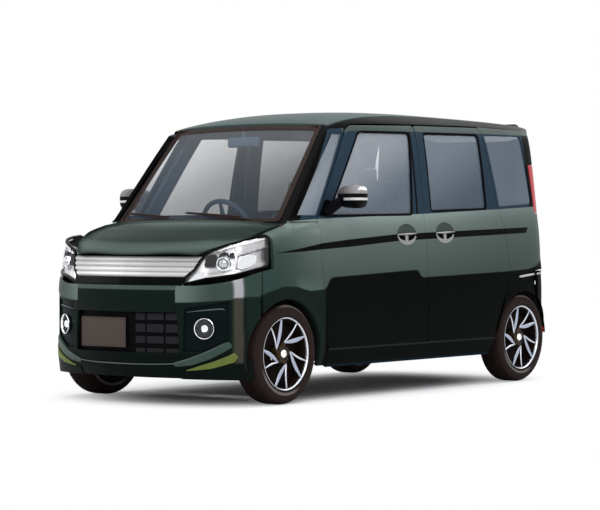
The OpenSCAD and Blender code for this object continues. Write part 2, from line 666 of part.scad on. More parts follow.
module front_suspension() {
    top = (tower_z * sz - rest_gap - king_low.y - 55 * sin(king_tilt)) / cos(king_tilt);
    color(dark) both() {
        translate([0, axle_f, tyre_radius - 131]) linear_extrude(18)
            polygon([[hub_f - 35.5, -27.5], [hub_f - 35.5, 28.5], [hub_f - 157.5, 40.5], [330 * sx, 172.5],
                [300 * sx, 172.5], [300 * sx, -167.5], [330 * sx, -167.5], [hub_f - 157.5, -39.5]]);
        translate([king_low.x, axle_f, king_low.y]) rotate([0, -king_tilt, 0]) {
            translate([0, 0, 420]) cylinder(h = top - 420, r = 12);
            translate([0, 0, 440]) cylinder(h = top - 440, r = 55);
        }
        bar([300 * sx, 340 * sx], [axle_f - 167.5, axle_f + 172.5], [tyre_radius - 131, 420 * sz - rest_gap]);
    }
}

module bonnet_panel() {
    color(paint)
        shell([for (v = span(0, 1, 10)) [for (u = span(-1, 1, 10)) bonnet(u, v)]],
            [for (v = span(0, 1, 10)) [for (u = span(-1, 1, 10)) bonnet(u, v, 18)]]);
}

module tailgate() {
    zs = [618, 700, 800, 900, 1000, 1060, 1130, 1250, 1400, 1530, 1580, 1620, 1655];
    xs = [-628, -560, -440, -300, -150, 0, 150, 300, 440, 560, 628];
    color(paint)
        difference() {
            shell([for (z = zs) [for (x = xs) [x, gate_y(x, z), z]]],
                [for (z = zs) [for (x = xs) [x, gate_y(x, z) - (z > 1640 ? 6 : 36), z]]]);
            end_cut([[-520, 1086], [-500, 1075], [500, 1075], [520, 1086], [500, 1520], [484, 1535],
                [-484, 1535], [-500, 1520]], 1400, 1800);
            both() end_cut([[640, 500], [604, 500], [604, 700], [614, 1060], [586, 1380], [556, 1600],
                [520, 1660], [640, 1660]], 1300, 1800);
        }
}

module tailgate_glass() {
    color(tint)
        intersection() {
            shell([for (z = span(1060, 1550, 6)) [for (x = span(-540, 540, 6)) [x, gate_y(x, z) - 8, z]]],
                [for (z = span(1060, 1550, 6)) [for (x = span(-540, 540, 6)) [x, gate_y(x, z) - 8 - glass, z]]]);
            end_cut([[-520, 1086], [-500, 1075], [500, 1075], [520, 1086], [500, 1520], [484, 1535],
                [-484, 1535], [-500, 1520]], 1400, 1800);
        }
}

// KNUCKLE: upright, stub axle and strut tube, leaning with the steering axis.
module knuckle() {
    color(dark) {
        bar([hub_f - 99.5, hub_f - 59.5], [axle_f - 36, axle_f + 36], [tyre_radius - 101, tyre_radius + 91]);
        axle_rod(hub_f - 77.5, hub_f + 12.5, axle_f, stub_radius);
        translate([king_low.x, axle_f, king_low.y]) rotate([0, -king_tilt, 0]) {
            translate([0, 0, 5]) cylinder(h = 55, r = 18);
            translate([0, 0, 130]) cylinder(h = 288, r = 24);
        }
    }
}

module tyre(x) {
    w = tyre_width / 2;
    r = tyre_radius;
    b = rim_radius - 12;
    bead = w - 12 - rest_gap;
    color(dark) translate([x, 0, 0]) rotate([0, 90, 0])
        rotate_extrude($fn = 72)
            polygon([[b, -w + 12], [b + 20, -w + 3], [b + 40, -w], [r - 34, -w + 3], [r - 14, -w + 12],
                [r - 4, -w + 26], [r, -w + 45], [r, w - 45], [r - 4, w - 26], [r - 14, w - 12], [r - 34, w - 3],
                [b + 40, w], [b + 22, w - 3], [rim_radius + rest_gap, w - 6], [rim_radius + rest_gap, bead],
                [b, bead]]);
}

// RIM: barrel, hub and spoke pairs; the outer face points to +X.
module rim(x) {
    w = tyre_width / 2;
    b = rim_radius - 12 - rest_gap;
    color(silver) translate([x, 0, 0]) rotate([0, 90, 0]) difference() {
        union() {
            rotate_extrude($fn = 72)
                polygon([[b - 8, -w + 12], [b, -w + 12], [b, w - 12], [rim_radius, w - 12], [rim_radius, w - 4],
                    [rim_radius - 8, w - 4], [b - 8, w - 14]]);
            translate([0, 0, -38]) cylinder(h = 96, r = 46);
            for (i = [0 : spoke_pairs - 1]) rotate([0, 0, i * 360 / spoke_pairs + 90])
                for (s = [-1, 1]) translate([0, 0, 36]) linear_extrude(24)
                    polygon([[30, s * 8], [40, s * 24], [sqrt(pow(b - 2, 2) - 44 * 44), s * 44],
                        [sqrt(pow(b - 2, 2) - 24 * 24), s * 24]]);
        }
        translate([0, 0, -39]) cylinder(h = 64, r = stub_radius + run_play);
    }
}

module place_wheel(side, y) {
    translate([0, y, tyre_radius])
        if (side > 0) children();
        else mirror([1, 0, 0]) children();
}

floor_pan();
side_frames();
roof_panel();
front_fenders();
rear_quarters();
inner_frames();
fixed_glass();
cowl();
wipers();
front_bumper();
upper_grille();
intake_grille();
lamp_housings();
lamp_lenses();
front_plate();
radiator();
engine_block();
exhaust();
rear_bumper();
tail_lamps();
sliding_doors();
dashboard();
seats();
rear_axle();
front_suspension();
bonnet_panel();  // bonnet
door();  // door_left
door_glass();  // door_glass_left
mirror_body();  // mirror_left
mirror([1, 0, 0]) door();  // door_right
mirror([1, 0, 0]) door_glass();  // door_glass_right
mirror([1, 0, 0]) mirror_body();  // mirror_right
tailgate();
tailgate_glass();
steering_wheel();
knuckle();  // knuckle_left
mirror([1, 0, 0]) knuckle();  // knuckle_right
place_wheel(1, axle_f) tyre(track_front / 2);  // tyre_front_left
place_wheel(1, axle_f) rim(track_front / 2);  // rim_front_left
place_wheel(-1, axle_f) tyre(track_front / 2);  // tyre_front_right
place_wheel(-1, axle_f) rim(track_front / 2);  // rim_front_right
place_wheel(1, axle_r) tyre(track_rear / 2);  // tyre_rear_left
place_wheel(1, axle_r) rim(track_rear / 2);  // rim_rear_left
place_wheel(-1, axle_r) tyre(track_rear / 2);  // tyre_rear_right
place_wheel(-1, axle_r) rim(track_rear / 2);  // rim_rear_right
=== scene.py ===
"""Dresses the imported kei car: painted panels, glass, lamps, wheels and cabin, all in the CAD frame."""

import logging
import math
from bisect import bisect_right
from collections.abc import Callable, Iterable, Sequence
from dataclasses import dataclass, field
from enum import Enum
from functools import cached_property

import bmesh
import bpy
from mathutils import Matrix, Vector


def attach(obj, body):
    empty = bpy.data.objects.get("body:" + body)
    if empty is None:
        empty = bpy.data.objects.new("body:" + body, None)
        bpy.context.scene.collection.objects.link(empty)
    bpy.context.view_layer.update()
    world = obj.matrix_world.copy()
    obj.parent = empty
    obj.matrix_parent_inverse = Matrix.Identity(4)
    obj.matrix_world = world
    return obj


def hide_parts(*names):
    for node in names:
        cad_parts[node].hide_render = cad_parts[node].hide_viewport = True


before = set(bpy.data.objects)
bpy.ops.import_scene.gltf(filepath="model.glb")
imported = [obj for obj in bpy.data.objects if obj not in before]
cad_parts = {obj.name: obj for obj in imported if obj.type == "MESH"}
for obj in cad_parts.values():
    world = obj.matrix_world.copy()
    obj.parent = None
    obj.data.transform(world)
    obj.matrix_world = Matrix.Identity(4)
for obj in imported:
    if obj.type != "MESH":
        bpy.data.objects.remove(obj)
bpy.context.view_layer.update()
LOG = logging.getLogger("kei_car")
MM = 0.001

Point = tuple[float, float]
Surface = Callable[[float, float], Vector]


# Forms


class Side(Enum):
    """A side of the car; the value is the sign of its X."""

    LEFT = 1
    RIGHT = -1

    @property
    def word(self) -> str:
        """The side's name as the nodes spell it."""
        return self.name.lower()


class Curve:
    """Smooth curve through (position, value) points that never overshoots them."""

    def __init__(self, *points: Point) -> None:
        """Keeps the points and works out a slope at each.

        Args:
            points: (position, value) pairs in rising order of position.
        """
        self.xs = [p[0] for p in points]
        self.ys = [p[1] for p in points]
        rises = [(q[1] - p[1]) / (q[0] - p[0]) for p, q in zip(points, points[1:])]
        inner = [2 * a * b / (a + b) if a * b > 0 else 0.0 for a, b in zip(rises, rises[1:])]
        self.slopes = [rises[0], *inner, rises[-1]]

    def __call__(self, x: float) -> float:
        """The curve's value at x, held level beyond both ends."""
        if x <= self.xs[0]:
            return self.ys[0]
        if x >= self.xs[-1]:
            return self.ys[-1]
        i = bisect_right(self.xs, x) - 1
        span = self.xs[i + 1] - self.xs[i]
        t = (x - self.xs[i]) / span
        rise = self.ys[i + 1] - self.ys[i]
        a, b = self.slopes[i] * span, self.slopes[i + 1] * span
        return self.ys[i] + t * (a + t * ((3 * rise - 2 * a - b) + t * (a + b - 2 * rise)))


def lerp(a: float, b: float, t: float) -> float:
    """The value a share t of the way from a to b."""
    return a + (b - a) * t


def spread(a: float, b: float, count: int) -> list[float]:
    """Count plus one even steps from a to b, both included."""
    return [lerp(a, b, i / count) for i in range(count + 1)]


def ramp(x: float) -> float:
    """Smooth step from 0 at 0 to 1 at 1."""
    t = min(1.0, max(0.0, x))
    return t * t * (3 - 2 * t)


def kink(x: float) -> float:
    """Straight step from 0 at 0 to 1 at 1."""
    return min(1.0, max(0.0, x))


AXLE_FRONT = -1132.5
AXLE_REAR = 1292.5
TYRE_RADIUS = 281.0
TYRE_WIDTH = 165.0
RIM_RADIUS = 201.0
HALF_TRACK = {AXLE_FRONT: 647.5, AXLE_REAR: 645.0}
ARCH_FRONT = 303.0
ARCH_REAR = 296.0
PANEL_GAP = 6.0


class BodyForm:
    """The body's outer surfaces in millimetres, from the same tables as the CAD part."""

    section = Curve((150, 640), (180, 684), (240, 714), (300, 725), (450, 735), (600, 737.5), (800, 736.5),
                    (950, 729), (1050, 717.5), (1200, 703), (1400, 680), (1550, 655.5), (1600, 637),
                    (1640, 606), (1670, 574))
    cabin_taper = Curve((-1200, 80), (-1050, 60), (-900, 40), (-700, 21), (-500, 9), (-250, 1), (0, 0))
    tail_taper = Curve((1050, 0), (1250, 3), (1400, 11), (1480, 19), (1540, 34), (1580, 52), (1620, 80))
    nose_plan = ((0, -1697.5), (130, -1690), (260, -1668), (380, -1637), (480, -1603), (560, -1565),
                 (620, -1528), (668, -1482), (697, -1430), (716, -1370), (728, -1300), (735, -1220),
                 (737.5, -1132))
    tail_plan = ((0, 1697.5), (200, 1695), (400, 1687), (540, 1668), (620, 1642), (676, 1605), (710, 1550),
                 (727, 1480), (734, 1400), (737, 1300))
    nose_back = Curve(*sorted((-y, x) for x, y in nose_plan))
    nose_station = Curve(*[(y, i / 12) for i, (x, y) in enumerate(nose_plan)])
    lean_back = Curve((150, 45), (200, 22), (250, 9), (300, 2), (400, 0), (620, 0), (700, 14), (780, 42),
                      (820, 62), (860, 86), (900, 112), (935, 138), (980, 175))
    lean_in = Curve((620, 0), (780, 5), (860, 12), (900, 18), (935, 29), (960, 44), (985, 72))
    crown = Curve((-640, 1572), (-600, 1590), (-515, 1618), (-350, 1650), (-166, 1671), (150, 1686),
                  (434, 1690), (985, 1687), (1300, 1682), (1530, 1672), (1620, 1660))
    gate_line = Curve((600, 1652), (700, 1658), (800, 1657), (900, 1650), (1000, 1638), (1100, 1624),
                      (1250, 1606), (1400, 1588), (1550, 1566), (1600, 1556), (1650, 1545), (1680, 1538))
    bonnet_half = Curve((0, 652), (0.3, 648), (0.6, 596), (0.85, 505), (1, 446))
    bonnet_height = Curve((-1628, 828), (-1600, 858), (-1560, 884), (-1500, 911), (-1400, 947),
                          (-1300, 974), (-1200, 996), (-1100, 1013))
    bonnet_fall = Curve((-1555, 61), (-1400, 60), (-1250, 43), (-1085, 29))
    rail_low = Curve((-560, 1547), (-446, 1555), (-400, 1581), (190, 1599), (978, 1613), (1560, 1601))
    fender_reach = Curve((-1086, 658), (-1040, 660), (-940, 672), (-826, 688))
    fender_top = Curve((-1086, 984), (-1040, 1004), (-826, 1008))
    tail_station = Curve(*sorted((y, i / 9) for i, (x, y) in enumerate(tail_plan)))
    tail_tuck = Curve((190, 40), (260, 10), (340, 0))

    def __init__(self) -> None:
        """Prepares the plan curves by share of their length."""
        nose, tail = self.nose_plan, self.tail_plan
        self.nose_x = Curve(*[(i / (len(nose) - 1), p[0]) for i, p in enumerate(nose)])
        self.nose_y = Curve(*[(i / (len(nose) - 1), p[1]) for i, p in enumerate(nose)])
        self.nose_share = Curve(*[(p[0], i / (len(nose) - 1)) for i, p in enumerate(nose)])
        self.tail_x = Curve(*[(i / (len(tail) - 1), p[0]) for i, p in enumerate(tail)])
        self.tail_y = Curve(*[(i / (len(tail) - 1), p[1]) for i, p in enumerate(tail)])
        self.tail_share = Curve(*[(p[0], i / (len(tail) - 1)) for i, p in enumerate(tail)])

    def skin_x(self, y: float, z: float) -> float:
        """Half width of the side at a station and height."""
        x = self.section(z)
        x -= self.cabin_taper(y - 0.84 * max(0.0, z - 1017)) * kink((z - 930) / 100)
        x -= self.tail_taper(y) * kink((z - 500) / 300)
        return x

    def nose(self, share: float, z: float, inset: float = 0.0) -> Vector:
        """Point of the nose.

        Args:
            share: Walk from the middle, 0, to the front wheel, 1; minus on the right.
            z: Height.
            inset: Depth behind the outer surface.

        Returns:
            The point in millimetres.
        """
        s = abs(share)
        x, y = self.nose_x(s), self.nose_y(s)
        lo, hi = max(0.0, s - 0.04), min(1.0, s + 0.04)
        run = Vector((self.nose_x(hi) - self.nose_x(lo), self.nose_y(hi) - self.nose_y(lo))).normalized()
        side = (x / 737.5) ** 3
        back = self.lean_back(z) * kink(1.15 * (1 - side))
        px = x - self.lean_in(z) * side - inset * run.y
        return Vector((math.copysign(px, share) if s else 0.0, y + back + inset * run.x, z))

    def tail(self, share: float, z: float, inset: float = 0.0) -> Vector:
        """Point of the rear bumper, with arguments as for the nose."""
        s = abs(share)
        lo, hi = max(0.0, s - 0.05), min(1.0, s + 0.05)
        run = Vector((self.tail_x(hi) - self.tail_x(lo), self.tail_y(hi) - self.tail_y(lo))).normalized()
        depth = inset + self.tail_tuck(z)
        px = self.tail_x(s) + depth * run.y
        py = self.tail_y(s) - depth * run.x - 14 * kink((z - 600) / 160)
        return Vector((math.copysign(px, share) if s else 0.0, py, z))

    def roof(self, x: float, y: float) -> Vector:
        """Point of the roof panel."""
        return Vector((x, y, self.crown(y) - 40 * (abs(x) / 590) ** 2.4))

    def gate(self, x: float, z: float) -> Vector:
        """Point of the tailgate."""
        return Vector((x, self.gate_line(z) - 44 * (abs(x) / 640) ** 2.6, z))

    def bonnet(self, u: float, v: float, depth: float = 0.0) -> Vector:
        """Point of the bonnet, u across and v from the cowl, 0, to the leading edge, 1."""
        y = lerp(-1146 + 60 * u * u, -1628 + 73 * u * u, v)
        z = self.bonnet_height(y) - self.bonnet_fall(y) * u * u - depth
        return Vector((u * self.bonnet_half(v), y + depth * 0.25 * v, z))

    def screen(self, u: float, v: float, depth: float = 0.0) -> Vector:
        """Point of the windscreen, u across and v from the foot, 0, to the header, 1."""
        half, foot, bow = lerp(608, 548, v), lerp(-1036, -566, v), lerp(78, 44, v)
        y = foot - bow * (1 - u * u) + depth * 0.75
        z = lerp(1004, 1570, v) + 10 * math.sin(math.pi * v) + 14 * v * (1 - u * u) - depth * 0.66
        return Vector((u * half, y, z))

    def fender_x(self, y: float, z: float) -> float:
        """Half width of the front fender."""
        return self.section(z) - 737.5 + self.nose_back(-y)

    def fender(self, y: float, w: float, depth: float = 0.0) -> Vector:
        """Point of the front fender; w is the height, unrolled over the shoulder by 90 mm."""
        if y < -1086:
            edge_x = self.bonnet_half((-1086 - y) / 469) + PANEL_GAP
            edge_z = self.bonnet_height(y) - self.bonnet_fall(y)
        else:
            edge_x, edge_z = self.fender_reach(y), self.fender_top(y)
        low = edge_z - 60
        if w <= low:
            return Vector((self.fender_x(y, w) - depth, y, w))
        a = math.radians(min(90.0, w - low))
        x0 = self.fender_x(y, low)
        x = edge_x + (x0 - edge_x - depth) * math.cos(a)
        return Vector((x, y, low + (60 - depth) * math.sin(a)))

    def shoulder(self, y: float) -> float:
        """Unrolled height of the fender's upper edge."""
        edge = self.bonnet_height(y) - self.bonnet_fall(y) if y < -1086 else self.fender_top(y)
        return edge + 30


FORM = BodyForm()


def side_surface(depth: float = 0.0) -> Surface:
    """The left side at a depth, as a surface of station and height."""
    return lambda y, z: Vector((FORM.skin_x(y, z) - depth, y, z))


# Outlines


def arc(centre: Point, radius: float, start: float, end: float, count: int) -> list[Point]:
    """Points on an arc; angles in degrees from the first axis."""
    return [(centre[0] + radius * math.cos(math.radians(a)), centre[1] + radius * math.sin(math.radians(a)))
            for a in spread(start, end, count)]


def rounded(outline: Sequence[Point], radius: float, count: int = 4) -> list[Point]:
    """An outline with its corners rounded.

    Args:
        outline: Corner points in order.
        radius: Cut back from each corner, less where a side is short.
        count: Steps on each corner.

    Returns:
        The new outline.
    """
    made: list[Point] = []
    size = len(outline)
    for i, corner in enumerate(outline):
        here = Vector(corner)
        before, after = Vector(outline[i - 1]) - here, Vector(outline[(i + 1) % size]) - here
        if before.angle(after) > math.radians(160):
            made.append(corner)
            continue
        reach = min(radius, before.length * 0.45, after.length * 0.45)
        a, b = here + before.normalized() * reach, here + after.normalized() * reach
        for t in spread(0, 1, count):
            made.append(tuple(a * (1 - t) ** 2 + here * 2 * t * (1 - t) + b * t * t))
    return made


def encloses(outline: Sequence[Point], x: float, y: float) -> bool:
    """Whether a point lies inside an outline."""
    hit = False
    for (ax, ay), (bx, by) in zip(outline, [*outline[1:], outline[0]]):
        if (ay > y) != (by > y) and x < (bx - ax) * (y - ay) / (by - ay) + ax:
            hit = not hit
    return hit


# Mesh building


def trim(bm: bmesh.types.BMesh, outline: Sequence[Point], keep_inside: bool, reach: float) -> None:
    """Cuts a flat sheet along an outline and drops one side of the cut.

    Args:
        bm: Flat sheet in the XY plane.
        outline: Closed outline in the same plane.
        keep_inside: Whether what lies inside stays.
        reach: How near to a line a face is cut by it.
    """
    for a, b in zip(outline, [*outline[1:], outline[0]]):
        start, run = Vector((*a, 0)), Vector((b[0] - a[0], b[1] - a[1], 0))
        if run.length < 1e-6:
            continue
        near = []
        for face in bm.faces:
            gap = face.calc_center_median() - start
            t = min(1.0, max(0.0, gap.dot(run) / run.length_squared))
            if (gap - run * t).length < reach:
                near.append(face)
        parts = {*near, *(e for f in near for e in f.edges), *(v for f in near for v in f.verts)}
        bmesh.ops.bisect_plane(bm, geom=list(parts), dist=1e-5, plane_co=start,
                               plane_no=Vector((run.y, -run.x, 0)))
    dropped = [f for f in bm.faces
               if encloses(outline, *f.calc_center_median().xy) != keep_inside]
    bmesh.ops.delete(bm, geom=dropped, context="FACES")


def hem(bm: bmesh.types.BMesh, radius: float, depth: float, back: float = 0.0, steps: int = 3) -> None:
    """Rolls every open edge of a sheet over and straight back, as a pressed panel's edge.

    Args:
        bm: The sheet, with its faces outwards.
        radius: Roll radius, which adds to the sheet's outline.
        depth: Straight part behind the roll.
        back: Width of the flange turned in behind.
        steps: Faces over the roll.
    """
    bm.normal_update()
    edges = [e for e in bm.edges if e.is_boundary]
    place: dict[bmesh.types.BMVert, tuple[Vector, Vector, Vector]] = {}
    for edge in edges:
        loop = edge.link_loops[0]
        run = (loop.link_loop_next.vert.co - loop.vert.co)
        out = run.cross(loop.face.normal).normalized()
        for vert in edge.verts:
            base, normal, total = place.get(vert, (vert.co.copy(), vert.normal.copy(), Vector()))
            place[vert] = (base, normal, total + out)
    for vert, (base, normal, total) in place.items():
        place[vert] = (base, normal, (total - normal * total.dot(normal)).normalized())
    path = [(radius * math.sin(a), radius * (1 - math.cos(a)))
            for a in spread(0, math.pi / 2, steps)[1:]]
    path.append((radius, radius + depth))
    if back:
        path.append((radius - back, radius + depth))
    for outward, down in path:
        made = bmesh.ops.extrude_edge_only(bm, edges=edges)["geom"]
        edges = [g for g in made if isinstance(g, bmesh.types.BMEdge)]
        fresh, ring = {}, set(edges)
        for vert in (g for g in made if isinstance(g, bmesh.types.BMVert)):
            old = next(e.other_vert(vert) for e in vert.link_edges if e not in ring)
            base, normal, out = place[old]
            vert.co = base + out * outward - normal * down
            fresh[vert] = place[old]
        place = fresh


def flip_x(bm: bmesh.types.BMesh) -> None:
    """Mirrors a mesh to the other side of the car, faces still outwards."""
    bmesh.ops.scale(bm, vec=(-1, 1, 1), verts=bm.verts)
    bmesh.ops.reverse_faces(bm, faces=bm.faces)


def join(target: bmesh.types.BMesh, *others: bmesh.types.BMesh) -> bmesh.types.BMesh:
    """Adds other meshes to the first and frees them."""
    for other in others:
        mesh = bpy.data.meshes.new("part")
        other.to_mesh(mesh)
        other.free()
        target.from_mesh(mesh)
        bpy.data.meshes.remove(mesh)
    return target


def sheet(outline: Sequence[Point], surface: Surface, step: float, holes: Iterable[Sequence[Point]] = (),
          grow: float = 1.0, roll: float = 1.5, depth: float = 14.0, back: float = 0.0) -> bmesh.types.BMesh:
    """A pressed panel: a grid cut to an outline, laid on a surface, with hemmed edges.

    Args:
        outline: Closed outline in the surface's own two coordinates.
        surface: Gives the point in millimetres for the two coordinates.
        step: Grid step in those coordinates.
        holes: Outlines that are cut out.
        grow: Steps of the second coordinate for one of the first.
        roll: Hem radius in millimetres, or 0 for a bare sheet.
        depth: Straight depth of the hem.
        back: Flange turned in behind the hem.

    Returns:
        The panel's mesh in millimetres.
    """
    xs, ys = [p[0] for p in outline], [p[1] for p in outline]
    lo, hi = Vector((min(xs), min(ys) / grow)), Vector((max(xs), max(ys) / grow))
    lo, hi = lo - Vector((step, step)) * 0.37, hi + Vector((step, step)) * 0.41
    bm = bmesh.new()
    bmesh.ops.create_grid(bm, x_segments=max(2, round((hi.x - lo.x) / step)),
                          y_segments=max(2, round((hi.y - lo.y) / step)), size=0.5)
    scale = Matrix.Diagonal((hi.x - lo.x, hi.y - lo.y, 1, 1))
    bmesh.ops.transform(bm, matrix=Matrix.Translation(((lo + hi) / 2).to_3d()) @ scale, verts=bm.verts)
    trim(bm, [(x, y / grow) for x, y in outline], True, step * 1.6)
    for hole in holes:
        trim(bm, [(x, y / grow) for x, y in hole], False, step * 1.6)
    for vert in bm.verts:
        vert.co = surface(vert.co.x, vert.co.y * grow)
    bmesh.ops.remove_doubles(bm, verts=bm.verts, dist=0.35)
    bm.normal_update()
    if roll:
        hem(bm, roll, depth, back)
    return bm


def facing(bm: bmesh.types.BMesh, way: Vector) -> bmesh.types.BMesh:
    """Turns an open sheet's faces so that most look one way."""
    bm.normal_update()
    if sum(f.normal.dot(way) * f.calc_area() for f in bm.faces) < 0:
        bmesh.ops.reverse_faces(bm, faces=bm.faces)
    return bm


def tube(path: Sequence[Vector], radii: Sequence[float], sides: int = 12, flat: float = 1.0) -> bmesh.types.BMesh:
    """A closed rod of changing radius along a path.

    Args:
        path: Centre points in millimetres.
        radii: Radius at each point.
        sides: Faces round it.
        flat: Height of the section for a width of one.

    Returns:
        The rod's mesh.
    """
    bm = bmesh.new()
    rings = []
    for i, (centre, radius) in enumerate(zip(path, radii)):
        run = path[min(i + 1, len(path) - 1)] - path[max(i - 1, 0)]
        turn = run.to_track_quat("Z", "Y").to_matrix().to_4x4()
        made = bmesh.ops.create_circle(bm, segments=sides, radius=radius, cap_ends=i in (0, len(path) - 1))
        squeeze = Matrix.Diagonal((1, flat, 1, 1))
        bmesh.ops.transform(bm, matrix=Matrix.Translation(centre) @ turn @ squeeze, verts=made["verts"])
        rings.append([e for e in {e for v in made["verts"] for e in v.link_edges}
                      if e.verts[0] in made["verts"] and e.verts[1] in made["verts"]])
    for a, b in zip(rings, rings[1:]):
        bmesh.ops.bridge_loops(bm, edges=[*a, *b])
    bmesh.ops.recalc_face_normals(bm, faces=bm.faces)
    return bm


def lathe(profile: Sequence[Point], steps: int = 96) -> bmesh.types.BMesh:
    """A turned body about the X axis from (x, radius) points; a closed profile when its ends meet.

    Args:
        profile: Points along the section.
        steps: Faces round it.

    Returns:
        The body's mesh.
    """
    bm = bmesh.new()
    verts = [bm.verts.new((x, 0, r)) for x, r in profile]
    edges = [bm.edges.new(pair) for pair in zip(verts, verts[1:])]
    bmesh.ops.spin(bm, geom=[*verts, *edges], cent=(0, 0, 0), axis=(1, 0, 0), angle=math.tau, steps=steps,
                   use_merge=True)
    bmesh.ops.remove_doubles(bm, verts=bm.verts, dist=0.01)
    bmesh.ops.recalc_face_normals(bm, faces=bm.faces)
    return bm


def slab(lo: Sequence[float], hi: Sequence[float], bevel: float = 0.0, segments: int = 2) -> bmesh.types.BMesh:
    """A box between two corners with its edges rounded."""
    bm = bmesh.new()
    bmesh.ops.create_cube(bm, size=1)
    lo_v, hi_v = Vector(lo), Vector(hi)
    place = Matrix.Translation((lo_v + hi_v) / 2) @ Matrix.Diagonal((*(hi_v - lo_v), 1))
    bmesh.ops.transform(bm, matrix=place, verts=bm.verts)
    if bevel:
        bmesh.ops.bevel(bm, geom=bm.edges, offset=bevel, offset_type="OFFSET", affect="EDGES",
                        segments=segments, profile=0.5, material=-1)
    return bm


def plate(outline: Sequence[Point], low: float, high: float, bevel: float = 0.0) -> bmesh.types.BMesh:
    """A flat plate of an outline in XY between two heights, its rims rounded."""
    bm = bmesh.new()
    face = bm.faces.new([bm.verts.new((x, y, low)) for x, y in outline])
    top = bmesh.ops.extrude_face_region(bm, geom=[face])["geom"]
    bmesh.ops.translate(bm, vec=(0, 0, high - low), verts=[g for g in top if isinstance(g, bmesh.types.BMVert)])
    bmesh.ops.recalc_face_normals(bm, faces=bm.faces)
    if bevel:
        rims = [e for e in bm.edges if abs(e.verts[0].co.z - e.verts[1].co.z) < 1e-6]
        bmesh.ops.bevel(bm, geom=rims, offset=bevel, offset_type="OFFSET", affect="EDGES", segments=2,
                        profile=0.5, material=-1)
    return bm


def place(bm: bmesh.types.BMesh, matrix: Matrix) -> bmesh.types.BMesh:
    """Moves a whole mesh and returns it."""
    bmesh.ops.transform(bm, matrix=matrix, verts=bm.verts)
    if matrix.determinant() < 0:
        bmesh.ops.reverse_faces(bm, faces=bm.faces)
    return bm


def piece(name: str, bm: bmesh.types.BMesh, finish: "Finish", body: str, stands_for: Sequence[str] = (),
          crisp: float = 40.0) -> bpy.types.Object:
    """Makes a finished piece from a mesh in millimetres, and frees the mesh.

    Args:
        name: The piece's name.
        bm: Its mesh in millimetres, in the car's frame.
        finish: Its finish.
        body: CAD body that it rides on.
        stands_for: CAD nodes that it replaces.
        crisp: Angle in degrees beyond which an edge stays sharp.

    Returns:
        The new object.
    """
    bmesh.ops.scale(bm, vec=(MM, MM, MM), verts=bm.verts)
    bm.normal_update()
    for face in bm.faces:
        face.smooth = True
    for edge in bm.edges:
        edge.smooth = edge.is_boundary or edge.calc_face_angle(0) < math.radians(crisp)
    mesh = bpy.data.meshes.new(name)
    bm.to_mesh(mesh)
    bm.free()
    obj = bpy.data.objects.new(name, mesh)
    bpy.context.scene.collection.objects.link(obj)
    mesh.materials.append(finish.material())
    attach(obj, body)
    if stands_for:
        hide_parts(*stands_for)
    LOG.info("%s: %d faces", name, len(mesh.polygons))
    return obj


# Finishes


class Value:
    """A shader value that takes part in Python arithmetic."""

    def __init__(self, graph: "Graph", socket: bpy.types.NodeSocket) -> None:
        """Wraps an output socket of a graph."""
        self.graph = graph
        self.socket = socket

    def maths(self, operation: str, *terms: object) -> "Value":
        """The result of a Math node on the given terms."""
        return self.graph.value("ShaderNodeMath", {"operation": operation}, terms)

    def __add__(self, other: object) -> "Value":
        """Sum."""
        return self.maths("ADD", self, other)

    __radd__ = __add__

    def __sub__(self, other: object) -> "Value":
        """Difference."""
        return self.maths("SUBTRACT", self, other)

    def __rsub__(self, other: object) -> "Value":
        """Difference the other way round."""
        return self.maths("SUBTRACT", other, self)

    def __mul__(self, other: object) -> "Value":
        """Product."""
        return self.maths("MULTIPLY", self, other)

    __rmul__ = __mul__

    def __truediv__(self, other: object) -> "Value":
        """Quotient."""
        return self.maths("DIVIDE", self, other)

    def __abs__(self) -> "Value":
        """Size without sign."""
        return self.maths("ABSOLUTE", self)

    def __mod__(self, other: object) -> "Value":
        """Remainder, never below zero."""
        return self.maths("FLOORED_MODULO", self, other)

    def step(self, low: float, high: float) -> "Value":
        """Smooth step from 0 at low to 1 at high."""
        return self.graph.value("ShaderNodeMapRange", {"interpolation_type": "SMOOTHSTEP"},
                                {"Value": self, "From Min": low, "From Max": high})


